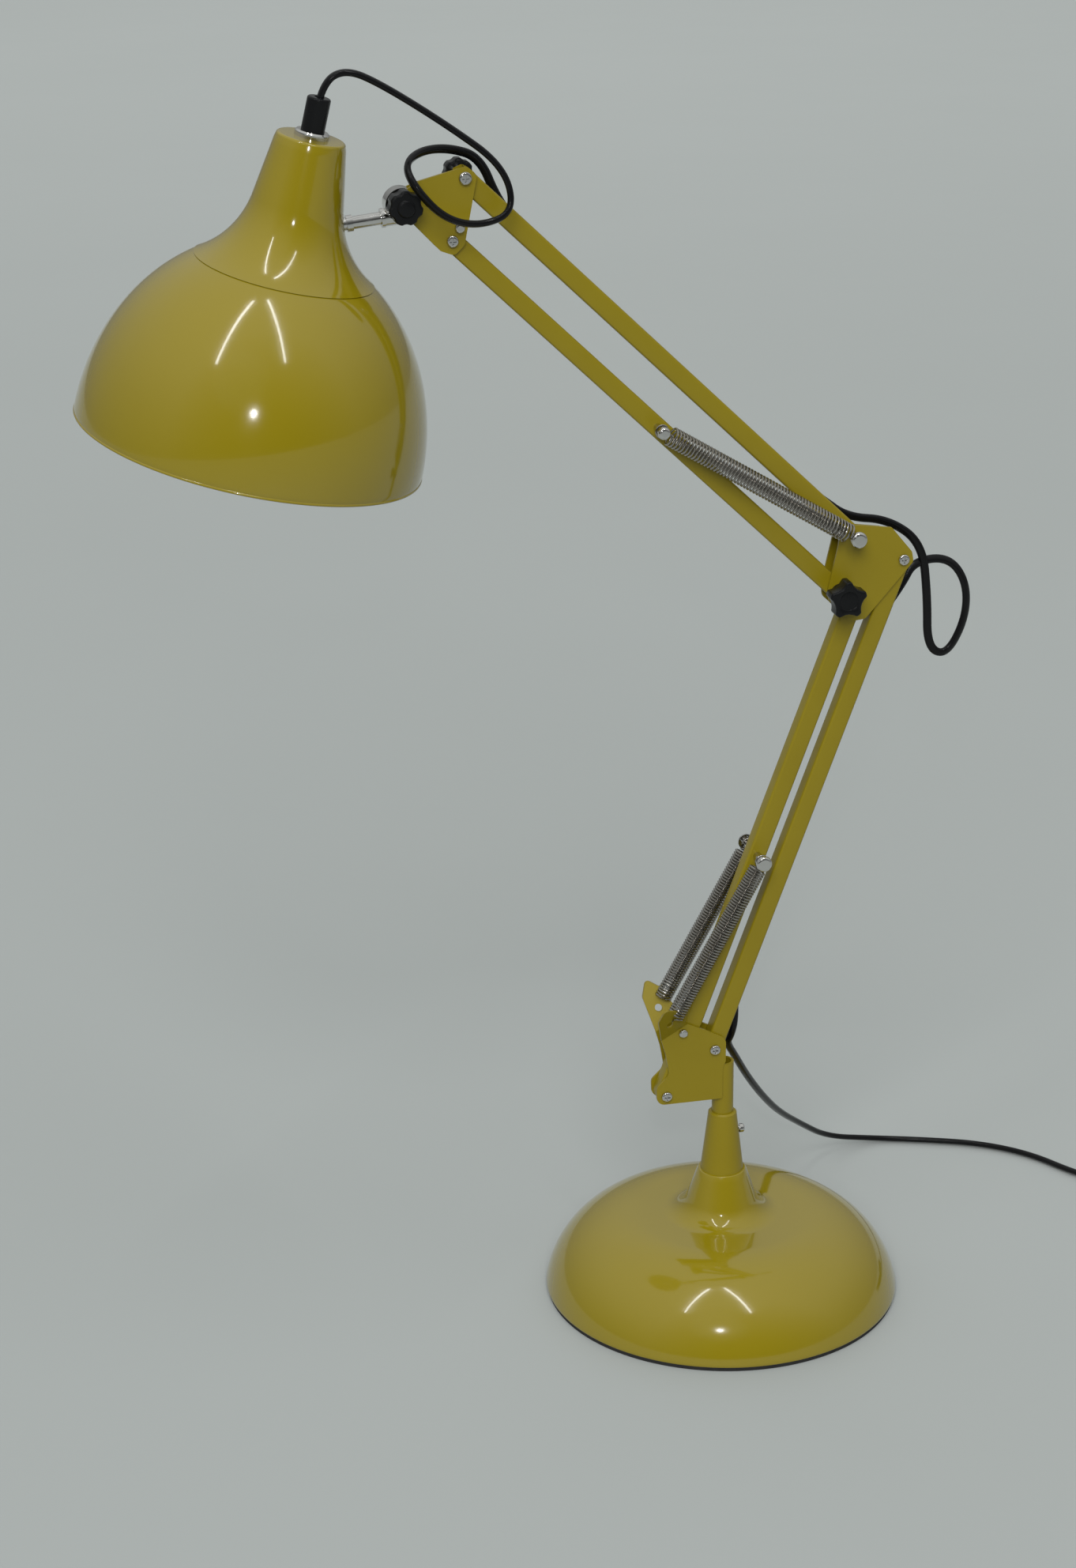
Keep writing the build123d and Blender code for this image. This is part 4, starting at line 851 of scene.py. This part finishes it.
@dataclass
class Cordage:
    """The mains flex from shade to plug, in lengths that meet at the joints they cross."""

    first_side: Point = (0.0, 1.0, 0.1)
    grip_heights: Flat = (57.5, 71.5)
    run_in: float = 58.0
    run_rows: int = 24
    coil_centre: Flat = (292.0, 40.0)
    coil_outer: float = 34.0
    coil_inner: float = 14.0
    coil_turns: int = 4
    coil_low: float = 3.5
    coil_layer: float = 5.0
    per_turn: int = 16
    plug_lead: tuple[Flat, ...] = ((56.0, 8.2), (70.0, 6.85), (84.0, 6.85))

    def head_route(self) -> list[Point]:
        """Route from the cord grip, over to the head bracket, once round and into the arm.

        Returns:
            Points of the route, in millimetres.
        """
        place = ShadePlace().matrix()
        grip = [tuple(place @ Vector((0.0, 0.0, h * MM)) / MM) for h in self.grip_heights]
        loop = stepped(LINK.head_top, [
            (-57.5, -6.0, 54.8), (-41.0, -7.0, 47.4), (-9.0, -9.5, 26.6), (18.0, -14.0, 6.4),
            (22.6, -16.8, -15.8), (5.0, -18.5, -21.8), (-13.4, -20.5, -17.0),
            (-28.0, -22.0, -1.0), (-31.2, -12.5, 9.0), (-20.6, 0.0, 13.4), (-5.0, 8.5, 12.8),
            (11.5, 12.0, 7.0)])
        back = LINK.upper_angle + 180.0
        inside = [along_bar(LINK.head_top, back, *spot) for spot in
                  ((24.0, 3.0, 9.0), (44.0, 0.0, 0.0), (self.run_in, 0.0, 0.0))]
        return grip + loop + inside

    def elbow_route(self) -> list[Point]:
        """Route out of the upper arm, round the elbow in a loop and into the lower arm.

        Returns:
            Points of the route, in millimetres.
        """
        out = [along_bar(LINK.elbow_top, LINK.upper_angle, *spot) for spot in
               ((self.run_in, 0.0, 0.0), (42.0, 0.0, 0.0), (22.0, -3.0, 9.0))]
        loop = stepped(LINK.elbow_right, [
            (-26.0, 11.8, 20.0), (-3.0, 11.5, 17.4), (15.6, 8.6, 3.6), (19.2, 7.8, -26.6),
            (20.0, 7.8, -54.6), (31.2, 7.8, -60.4), (41.6, 8.2, -40.2), (41.8, 9.5, -20.0),
            (31.4, 10.8, -5.6), (11.4, 9.8, -6.4), (3.0, 3.8, -17.0)])
        down = LINK.lower_angle + 180.0
        inside = [along_bar(LINK.elbow_right, down, *spot) for spot in
                  ((38.0, 0.0, 0.0), (self.run_in, 0.0, 0.0))]
        return out + loop + inside

    def tail_route(self) -> list[Point]:
        """Route out of the lower arm, down to the table, along it and into the coil.

        Returns:
            Points of the route, in millimetres.
        """
        out = [along_bar(LINK.foot_right, LINK.lower_angle, *spot) for spot in
               ((self.run_in, 0.0, 0.0), (36.0, 0.0, 0.0), (17.0, -8.4, 2.4), (6.0, -11.2, 6.0))]
        fall = stepped(LINK.foot_right, [
            (11.4, 10.0, -4.0), (19.0, 19.0, -17.0), (32.5, 40.0, -40.8), (49.7, 65.0, -67.5),
            (67.7, 90.0, -92.0)])
        table = [(83.0, 116.0, 34.0), (107.0, 137.0, 12.0), (138.0, 146.5, 2.5),
                 (170.0, 136.0, 2.5), (202.0, 123.0, 2.5), (227.0, 102.0, 2.5),
                 (243.0, 74.0, 2.5), (258.0, 54.0, 3.5)]
        return out + fall + table + self.coil_route()

    def coil_route(self) -> list[Point]:
        """Two flat layers of turns, in along the table and out on top, then to the plug.

        The radius shrinks by the same step each turn on the lower layer, grows again on the
        upper one, and the half turn between them climbs along a cosine.

        Returns:
            Points of the coil and its lead to the plug, in millimetres.
        """
        rate = (self.coil_outer - self.coil_inner) / self.coil_turns / FULL_TURN
        low_end = self.coil_turns * FULL_TURN
        top_start = low_end + math.pi
        count = round((top_start + low_end) / FULL_TURN * self.per_turn)
        angle = np.linspace(0.0, top_start + low_end, count + 1)
        climb = np.clip((angle - low_end) / math.pi, 0.0, 1.0)
        dip = rate * math.pi * np.minimum(climb, 1.0 - climb)
        radius = np.where(angle < low_end, self.coil_outer - rate * angle,
                          self.coil_inner - dip + rate * np.maximum(angle - top_start, 0.0))
        height = self.coil_low + self.coil_layer * (1.0 - np.cos(math.pi * climb)) / 2
        x = self.coil_centre[0] + radius * np.cos(math.pi + angle)
        y = self.coil_centre[1] + radius * np.sin(math.pi + angle)
        turns = np.column_stack([x, y, height]).tolist()
        end_x = self.coil_centre[0] + self.coil_outer
        return [tuple(p) for p in turns] + [(end_x, y, z) for y, z in self.plug_lead]

    def build(self) -> list[bpy.types.Object]:
        """Make all free lengths of the flex, then the two runs inside the arms.

        Returns:
            The pieces, from the shade to the plug, then those inside the arms.
        """
        made = []
        side = self.first_side
        for flex in self.free_lengths():
            piece, side = flex.build(side)
            made.append(piece)
        made += [self.inner_run("cord_in_upper_arm", "cord_upper_run", "top_bar",
                                LINK.elbow_top, LINK.upper_angle, LINK.upper_length),
                 self.inner_run("cord_in_lower_arm", "cord_lower_run", "right_bar",
                                LINK.foot_right, LINK.lower_angle, LINK.lower_length)]
        return made

    def free_lengths(self) -> list[Flex]:
        """Share the three routes out among the joints that the flex crosses.

        Returns:
            The free lengths, from the shade to the plug.
        """
        head, elbow, tail = self.head_route(), self.elbow_route(), self.tail_route()
        return [
            Flex("cord_shade_to_stub", ("cord_head",), ("shade", "tilt_stub"),
                 self.upto(head, 0, 3), length=0.062),
            Flex("cord_stub_to_bracket", ("cord_head",), ("tilt_stub", "head_bracket"),
                 self.upto(head, 4, 8), length=0.119),
            Flex("cord_bracket_to_arm", ("cord_head",), ("head_bracket", "top_bar"),
                 self.upto(head, 9, 16), length=0.132),
            Flex("cord_arm_to_elbow", ("cord_elbow",), ("top_bar", "elbow"),
                 self.upto(elbow, 0, 6), length=0.147),
            Flex("cord_elbow_to_lower_arm", ("cord_elbow",), ("elbow", "right_bar"),
                 self.upto(elbow, 7, 15), length=0.158),
            Flex("cord_arm_to_foot", ("cord_tail",), ("right_bar", "lower_bracket"),
                 self.upto(tail, 0, 4), length=0.07),
            Flex("cord_foot_to_plug", ("cord_tail", "cord_coil"), ("lower_bracket", "base"),
                 self.upto(tail, 5, len(tail) - 1), length=1.68, bend_end=6,
                 far_end="plug", lay="coiled",
                 with_pieces=("plug", "plug_pin_left", "plug_pin_right", "coil_tie"))]

    def upto(self, route: list[Point], first: int, last: int) -> list[Point]:
        """Part of a route whose ends are halfway points, so that two parts meet in line.

        Args:
            route: The whole route.
            first: Index of the part's first point.
            last: Index of its last point.

        Returns:
            The part's points.
        """
        part = [np.array(p) for p in route[first:last + 1]]
        if first > 0:
            part = [(np.array(route[first - 1]) + part[0]) / 2] + part
        if last < len(route) - 1:
            part.append((part[-1] + np.array(route[last + 1])) / 2)
        return [tuple(p) for p in part]

    def inner_run(self, name: str, node: str, body: str, pivot: Flat, angle: float,
                  length: float) -> bpy.types.Object:
        """Make the straight flex inside a square tube, between two loops.

        Args:
            name: Name of the piece.
            node: Node that it stands for.
            body: Body of the bar.
            pivot: Start of the bar.
            angle: Direction of the bar in degrees.
            length: Length of the bar.

        Returns:
            The piece on the bar's body.
        """
        line = [along_bar(pivot, angle, spot, 0.0, 0.0)
                for spot in np.linspace(self.run_in, length - self.run_in, self.run_rows)]
        grid = carried(np.array(line) * MM, FLEX_SECTION.points(), self.first_side)
        piece = sleeve(name, grid, CORD)
        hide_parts(node)
        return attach(piece, body)


@dataclass
class Shade:
    """Bell shade: a flared neck and a round bowl with a rolled rim, white inside."""

    neck_top: Flat = (17.3, 45.0)
    neck_mid: Flat = (22.8, 12.0)
    neck_hole: float = 4.6
    neck_round: float = 1.6
    round_arc: Flat = (90.0, 8.0)
    round_steps: int = 9
    straight_steps: int = 20
    flare_steps: int = 50
    mid_drop: float = 0.3
    seam_inset: float = 1.3
    seam: Flat = (45.2, -21.3)
    seam_lip: float = 4.0
    lip_edge: float = 0.5
    bowl_h: float = -111.2
    bowl_half: Flat = (88.5, 104.0)
    bowl_steps: int = 70
    bead: float = 0.75
    bead_arc: Flat = (62.0, -242.0)
    bead_steps: int = 22
    sheet: float = 1.0
    segments: int = 192

    def build(self) -> list[bpy.types.Object]:
        """Make the neck and the bowl and put them on the shade.

        Returns:
            The bowl and the neck on their body.
        """
        place = ShadePlace().matrix()
        bowl = self.turned("shade_bowl_skin", self.bowl_lines(), place)
        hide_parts("shade_dome")
        neck = self.turned("shade_neck_skin", self.neck_lines(), place)
        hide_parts("shade_neck")
        return [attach(bowl, "shade"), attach(neck, "shade")]

    def turned(self, name: str, lines: tuple[np.ndarray, np.ndarray],
               place: Matrix) -> bpy.types.Object:
        """Turn an outer and an inner line into one closed sheet piece.

        Args:
            name: Name of the piece.
            lines: Outer and inner side line, in millimetres.
            place: Frame of the shade.

        Returns:
            The piece, painted outside and white inside.
        """
        skin = Skin()
        for finish, line in enumerate(lines):
            skin.patch(moved(lathe(line * MM, self.segments), place), wrap_u=True, finish=finish)
        return skin.build(name, GLOSS_PAINT, REFLECTOR)

    def bowl_lines(self) -> tuple[np.ndarray, np.ndarray]:
        """Outer line from lip to rim bead, and inner line back to the lip.

        Both sides are elliptic arcs, the inner one a sheet's thickness smaller, and the bead
        is most of a circle.

        Returns:
            The two lines as radius and height, in millimetres.
        """
        radius, height = self.bowl_half
        centre = (0.0, self.bowl_h)
        start = math.degrees(math.asin((self.seam[1] - self.bowl_h) / height))
        outer = arc(centre, self.bowl_half, start, 0.0, self.bowl_steps)
        inner_half = (radius - self.sheet, height - self.sheet)
        low = (self.seam[1] - self.sheet - self.bowl_h) / inner_half[1]
        inner = arc(centre, inner_half, 0.0, math.degrees(math.asin(low)), self.bowl_steps)
        bead_centre = (radius - self.sheet / 2, self.bowl_h)
        bead = arc(bead_centre, (self.bead, self.bead), *self.bead_arc, self.bead_steps)
        lip_r = outer[0, 0] - self.seam_lip
        edge = np.array([[lip_r, self.seam[1]], [outer[0, 0] - self.lip_edge, self.seam[1]]])
        outside = np.vstack([edge, outer[:-1], bead])
        inside = np.vstack([bead[-1:], inner[1:], [[lip_r, self.seam[1] - self.sheet]], edge[:1]])
        return outside, inside

    def neck_lines(self) -> tuple[np.ndarray, np.ndarray]:
        """Outer line from the top hole over a rounded edge to the seam, and inner line back.

        Returns:
            The two lines as radius and height, in millimetres.
        """
        top_r, top_h = self.neck_top
        outer = self.neck_side(0.0)
        inner = self.neck_side(self.sheet)
        centre = (top_r - self.neck_round, top_h - self.neck_round)
        round_over = arc(centre, (self.neck_round, self.neck_round), *self.round_arc,
                         self.round_steps)
        outside = np.vstack([[[self.neck_hole, top_h]], round_over, outer[2:],
                             [[inner[-1, 0], self.seam[1]]]])
        inside = np.vstack([inner[::-1], [[self.neck_hole, top_h - self.sheet]],
                            [[self.neck_hole, top_h]]])
        return outside, inside

    def neck_side(self, inset: float) -> np.ndarray:
        """Straight upper side, then a tangent arc that flares out to the seam.

        The arc's radius is the chord squared over twice the chord's part along the normal.

        Args:
            inset: How far the side is set in from the outside.

        Returns:
            Points as radius and height, in millimetres.
        """
        top = np.array([self.neck_top[0] - inset, self.neck_top[1] - inset])
        mid = np.array([self.neck_mid[0] - inset, self.neck_mid[1] - self.mid_drop * inset])
        low = np.array([self.seam[0] - self.seam_inset * inset, self.seam[1]])
        down = unit(np.array([self.neck_mid[0] - self.neck_top[0],
                              self.neck_mid[1] - self.neck_top[1]]))
        normal = np.array([-down[1], down[0]])
        chord = low - mid
        radius = (chord @ chord) / (2 * chord @ normal)
        centre = mid + normal * radius
        first = math.atan2(*(mid - centre)[::-1])
        last = math.atan2(*(low - centre)[::-1])
        turn = (last - first + math.pi) % FULL_TURN - math.pi
        angle = first + np.linspace(0.0, turn, self.flare_steps)[:, None]
        curve = centre + abs(radius) * np.hstack([np.cos(angle), np.sin(angle)])
        share = np.linspace(0.0, 1.0, self.straight_steps, endpoint=False)[:, None]
        return np.vstack([top + (mid - top) * share, curve])


@dataclass
class Knob:
    """Hand knob: a round hub, then a disc scooped between its lobes, with an eased rim.

    Its node and the body that it turns with have the same name.
    """

    node: str
    centre: Flat
    side: Side
    grip: Grip
    radius: float
    face: float
    hub: float = 0.0
    cap: float = 0.0
    thick: float = 9.5
    hub_share: float = 0.52
    ease: float = 1.4
    ease_steps: int = 7
    back_ease: float = 0.7
    rim_high: float = 4.0
    cap_taper: float = 0.4
    cap_ease: float = 1.2
    cap_crown: float = 0.25
    steps: int = 160
    crease: float = 60.0

    def build(self) -> bpy.types.Object:
        """Make the knob: its lobed outline carried along an eased side line.

        A point's distance from the axis is a share of the outline, less an inset, plus a
        round core.

        Returns:
            The knob on its body.
        """
        angle = np.linspace(0.0, FULL_TURN, self.steps, endpoint=False)
        outline = self.outline(angle)
        inset, share, core, height = self.side_line().T
        reach = share[:, None] * (outline[None, :] - inset[:, None]) + core[:, None]
        x = self.centre[0] + reach * np.cos(angle)[None, :]
        z = self.centre[1] + reach * np.sin(angle)[None, :]
        y = np.broadcast_to((self.side.value * (self.face + height))[:, None], x.shape)
        skin = Skin()
        skin.patch(np.stack([x, y, z], axis=-1) * MM, wrap_v=True)
        knob = skin.build(self.node + "_skin", PLASTIC, crease=self.crease)
        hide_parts(self.node)
        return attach(knob, self.node)

    def side_line(self) -> np.ndarray:
        """Side line from back to front: hub, rim, a quarter round, and the cap.

        Returns:
            Rows of inset, share of the outline, round core and height.
        """
        ease, top, core = self.ease, self.hub + self.thick, self.radius * self.hub_share
        crown = top + self.cap + self.cap_crown
        back = [(0.0, 0.0, 0.0, 0.0)]
        if self.hub > 0:
            back += [(0.0, 0.0, core, 0.0), (0.0, 0.0, core, self.hub)]
        back += [(self.back_ease, 1.0, 0.0, self.hub),
                 (0.0, 1.0, 0.0, self.hub + self.back_ease),
                 (0.0, 1.0, 0.0, self.hub + self.rim_high)]
        curve = arc((ease, top - ease), (ease, ease), 180.0, 90.0, self.ease_steps)
        rim = [(row[0], 1.0, 0.0, row[1]) for row in curve]
        cap = [(ease, 0.0, core, top), (ease, 0.0, core - self.cap_taper, top + self.cap),
               (ease, 0.0, core - self.cap_ease, crown), (ease, 0.0, 0.0, crown)]
        return np.array(back + rim + cap)

    def outline(self, angle: np.ndarray) -> np.ndarray:
        """Distance from the axis at each angle: a circle cut by round scoops.

        Where a ray meets a scoop, the distance is the scoop centre's part along the ray less
        the root of the scoop's radius squared less its part across squared. Each distance is
        then averaged with its two neighbours.

        Args:
            angle: Angles round the axis.

        Returns:
            One distance for each angle, in millimetres.
        """
        lobes, scoop_at, scoop_radius = self.grip.value
        step = FULL_TURN / lobes
        scoop = (angle - math.pi / 2) % step - step / 2
        far = scoop_at * self.radius
        room = (scoop_radius * self.radius) ** 2 - (far * np.sin(scoop)) ** 2
        cut = far * np.cos(scoop) - np.sqrt(np.maximum(room, 0.0))
        edge = np.where(room > 0, np.minimum(cut, self.radius), self.radius)
        return (np.roll(edge, 1) + edge + np.roll(edge, -1)) / 3.0


def facing(way: Vector) -> Euler:
    """Turn of a lamp that shines along a direction."""
    return way.to_track_quat("-Z", "Y").to_euler()


@dataclass
class Studio:
    """Plain pale floor, soft light and the camera at the photograph's place.

    Places and sizes are in metres, and the focal length and the frame's height in pixels.
    """

    eye: Point = (-0.4493, -1.5297, 0.8941)
    right: Point = (0.9746, -0.2238, -0.0095)
    up: Point = (0.0866, 0.3372, 0.9375)
    forward: Point = (0.2066, 0.9145, -0.3480)
    focal_pixels: float = 4000.0
    frame_high: float = 1984.0
    sensor: float = 36.0
    view_depth: float = 60.0
    floor_radius: float = 14.0
    floor_middle: float = 0.05
    floor_rings: int = 40
    floor_sides: int = 72
    world_level: float = 1.0
    room_levels: tuple[Flat, ...] = ((0.0, 0.20), (0.25, 0.32), (0.6, 0.55), (1.0, 0.70))
    room_tint: Point = (0.97, 1.0, 0.99)
    dark_side: Flat = (-0.95, -0.45)
    dark_share: float = 0.25
    backdrop_colour: Point = (0.36, 0.385, 0.375)
    sun_level: float = 2.0
    sun_spread: float = 32.0
    sun_from: Point = (-0.40, -1.25, 1.0)
    aim: Point = (-0.05, 0.0, 0.35)
    lamps: tuple[tuple[str, Point, Flat, float], ...] = (
        ("tube_left", (-0.75, -0.7, 2.3), (0.05, 1.5), 4.0),
        ("tube_right", (0.15, -0.9, 2.3), (0.05, 1.5), 4.0),
        ("flash", (-0.43, -1.49, 1.02), (0.05, 0.05), 2.2))
    wash_at: Point = (1.0, 5.5, 4.0)
    wash_size: float = 5.0
    wash_power: float = 58.0

    def build(self) -> None:
        """Make the world, lamps, floor and camera."""
        scene = bpy.context.scene
        scene.view_settings.view_transform = "Standard"
        self.world(scene)
        self.sun()
        for name, spot, size, power in self.lamps:
            self.lamp(name, spot, size, power)
        self.wash()
        self.floor()
        self.camera(scene)

    def world(self, scene: bpy.types.Scene) -> None:
        """Pale room light, brighter overhead than at the sides, dim behind the camera.

        Args:
            scene: Scene that the room is for.
        """
        scene.world = bpy.data.worlds.new("studio_room")
        scene.world.use_nodes = True
        tree = scene.world.node_tree
        look = tree.nodes.new("ShaderNodeTexCoord")
        split = tree.nodes.new("ShaderNodeSeparateXYZ")
        ramp = tree.nodes.new("ShaderNodeValToRGB")
        tree.links.new(look.outputs["Generated"], split.inputs["Vector"])
        tree.links.new(split.outputs["Z"], ramp.inputs["Fac"])
        light = tree.nodes["Background"]
        tree.links.new(ramp.outputs["Color"], light.inputs["Color"])
        dim = tree.nodes.new("ShaderNodeMapRange")
        set_inputs(dim, {"From Min": self.dark_side[0], "From Max": self.dark_side[1],
                         "To Min": self.world_level * self.dark_share,
                         "To Max": self.world_level})
        tree.links.new(split.outputs["Y"], dim.inputs["Value"])
        tree.links.new(dim.outputs["Result"], light.inputs["Strength"])
        self.backdrop(tree, light)
        stops = ramp.color_ramp.elements
        for height, _ in self.room_levels[1:-1]:
            stops.new(height)
        for stop, (height, level) in zip(stops, self.room_levels):
            stop.position = height
            stop.color = (*(share * level for share in self.room_tint), 1.0)

    def backdrop(self, tree: bpy.types.NodeTree, light: bpy.types.Node) -> None:
        """Show the camera a plain pale room in place of the light that the object sees.

        Args:
            tree: Node tree of the world.
            light: Background that lights the object.
        """
        plain = tree.nodes.new("ShaderNodeBackground")
        plain.inputs["Color"].default_value = (*self.backdrop_colour, 1.0)
        rays = tree.nodes.new("ShaderNodeLightPath")
        choice = tree.nodes.new("ShaderNodeMixShader")
        tree.links.new(rays.outputs["Is Camera Ray"], choice.inputs["Fac"])
        tree.links.new(light.outputs["Background"], choice.inputs[1])
        tree.links.new(plain.outputs["Background"], choice.inputs[2])
        tree.links.new(choice.outputs["Shader"], tree.nodes["World Output"].inputs["Surface"])

    def hang(self, data: bpy.types.Light, glossy: bool) -> bpy.types.Object:
        """Link a lamp into the scene, facing down.

        Args:
            data: The light.
            glossy: Whether reflections show it.

        Returns:
            The lamp, to be placed and turned.
        """
        lamp = bpy.data.objects.new(data.name, data)
        lamp.visible_glossy = glossy
        bpy.context.scene.collection.objects.link(lamp)
        return lamp

    def sun(self) -> None:
        """Wide soft key that lights the whole floor evenly, from the upper left front."""
        data = bpy.data.lights.new("key_sky", "SUN")
        data.energy = self.sun_level
        data.angle = math.radians(self.sun_spread)
        lamp = self.hang(data, glossy=False)
        lamp.rotation_euler = facing(-Vector(self.sun_from))

    def lamp(self, name: str, spot: Point, size: Flat, power: float) -> None:
        """Soft rectangular lamp that faces the middle of the object.

        Args:
            name: Name of the lamp.
            spot: Where it hangs.
            size: Its two sides.
            power: Its power in watts.
        """
        data = bpy.data.lights.new(name, "AREA")
        data.shape = "RECTANGLE"
        data.size, data.size_y = size
        data.energy = power
        lamp = self.hang(data, glossy=True)
        lamp.location = spot
        lamp.rotation_euler = facing(Vector(self.aim) - Vector(spot))

    def wash(self) -> None:
        """Large lamp that faces down over the far floor, unseen in reflections."""
        data = bpy.data.lights.new("back_wash", "AREA")
        data.size = self.wash_size
        data.energy = self.wash_power
        lamp = self.hang(data, glossy=False)
        lamp.location = self.wash_at

    def floor(self) -> None:
        """Wide pale disc: rings of points whose radius grows by the same ratio outward."""
        radius = np.geomspace(self.floor_middle, self.floor_radius, self.floor_rings)[:, None]
        angle = np.linspace(0.0, FULL_TURN, self.floor_sides, endpoint=False)[None, :]
        x, y = radius * np.cos(angle), radius * np.sin(angle)
        grid = np.stack([x, y, np.zeros_like(x)], axis=-1)
        skin = Skin()
        skin.patch(grid, wrap_v=True)
        skin.cap(grid[0][::-1])
        sheet = skin.build("studio_floor", PAPER)

    def camera(self, scene: bpy.types.Scene) -> None:
        """Camera at the photograph's place, by its axes and its focal length in pixels.

        Args:
            scene: Scene that the camera is for.
        """
        data = bpy.data.cameras.new("photo_camera")
        data.sensor_fit = "VERTICAL"
        data.sensor_height = self.sensor
        data.lens = self.focal_pixels * self.sensor / self.frame_high
        data.clip_end = self.view_depth
        camera = bpy.data.objects.new("photo_camera", data)
        back = -Vector(self.forward)
        axes = Matrix((self.right, self.up, back)).transposed()
        camera.matrix_world = Matrix.Translation(self.eye) @ axes.to_4x4()
        scene.collection.objects.link(camera)
        scene.camera = camera


NODE_FINISHES: dict[Finish, tuple[str, ...]] = {
    SATIN_PAINT: ("socket_cone", "lower_bracket", "elbow_cheek_front", "elbow_cheek_rear",
                  "head_cheek_front", "head_cheek_rear"),
    CHROME: ("base_bolt", "cone_lock_screw", "lower_screw_a", "lower_screw_b", "lower_rivet",
             "lower_spring_pin", "elbow_screw_left", "elbow_screw_right", "elbow_spring_bolt",
             "elbow_bolt", "upper_spring_pin", "head_rivet", "head_screw_lower", "head_bolt",
             "tilt_bolt", "tilt_block", "stub_rod", "neck_nut", "plug_pin_left",
             "plug_pin_right"),
    PLASTIC: ("cord_grip", "lampholder", "plug", "coil_tie"),
    PAD: ("base_pad",),
    IRON: ("base_weight",),
    GLASS: ("bulb",),
}


def dress_nodes(frame: dict) -> None:
    """Give each CAD piece that stays its finish.

    Args:
        frame: The loaded frame.
    """
    for finish, names in NODE_FINISHES.items():
        for name in names:
            node = frame["nodes"][name]
            if not node.material_slots:
                node.data.materials.append(finish.material())
            for place in node.material_slots:
                place.material = finish.material()


def build_springs() -> list[bpy.types.Object]:
    """Make the two lower springs and the upper one.

    Returns:
        The three springs: the two lower ones on the lower springs' body, the upper one on no body.
    """
    made = []
    for node, side in (("lower_spring_front", Side.FRONT), ("lower_spring_rear", Side.REAR)):
        spring = Spring(node, LINK.ear_hole, LINK.lower_pin, side, turns=60, lead=6.0, tail=4.6,
                        first_pin=1.4, last_pin=2.4, coil=4.35)
        made.append(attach(spring.build(), "lower_springs"))
    upper = Spring("upper_spring", LINK.elbow_top, LINK.upper_pin, Side.FRONT, turns=58, lead=5.0,
                   tail=4.8, first_pin=2.5, last_pin=2.4, coil=4.8)
    made.append(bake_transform(upper.build()))
    return made


def build_bars() -> list[bpy.types.Object]:
    """Make the four square tubes of the two arms.

    Returns:
        The four bars on their bodies.
    """
    rows = (("lower_left", "left_bar", LINK.foot_left, LINK.lower_length, LINK.lower_angle),
            ("lower_right", "right_bar", LINK.foot_right, LINK.lower_length, LINK.lower_angle),
            ("upper_top", "top_bar", LINK.elbow_top, LINK.upper_length, LINK.upper_angle),
            ("upper_bottom", "bottom_bar", LINK.elbow_low, LINK.upper_length, LINK.upper_angle))
    return [Bar(name + "_tube", name + "_bar", body, pivot, length, angle).build()
            for name, body, pivot, length, angle in rows]


def build_knobs() -> list[bpy.types.Object]:
    """Make the three hand knobs.

    Returns:
        The knobs on their bodies.
    """
    knobs = (Knob("elbow_knob", LINK.elbow_low, Side.FRONT, Grip.STAR, radius=10.2, face=8.8,
                  hub=6.0, cap=-0.4),
             Knob("tilt_knob", LINK.tilt, Side.FRONT, Grip.SOFT, radius=8.6, face=6.8, cap=0.9),
             Knob("rear_knob", LINK.head_top, Side.REAR, Grip.SOFT, radius=7.4, face=6.8,
                  cap=0.6))
    return [knob.build() for knob in knobs]


def main() -> None:
    """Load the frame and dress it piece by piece."""
    logging.basicConfig(level=logging.INFO, format="%(name)s: %(message)s")
    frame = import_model()
    Studio().build()
    dress_nodes(frame)
    pieces = Cordage().build() + build_springs() + build_bars() + build_knobs()
    pieces += [Foot().build()] + Shade().build()
    for piece in pieces:
        LOG.info("%s has %d faces", piece.name, len(piece.data.polygons))


if __name__ == "__main__":
    main()
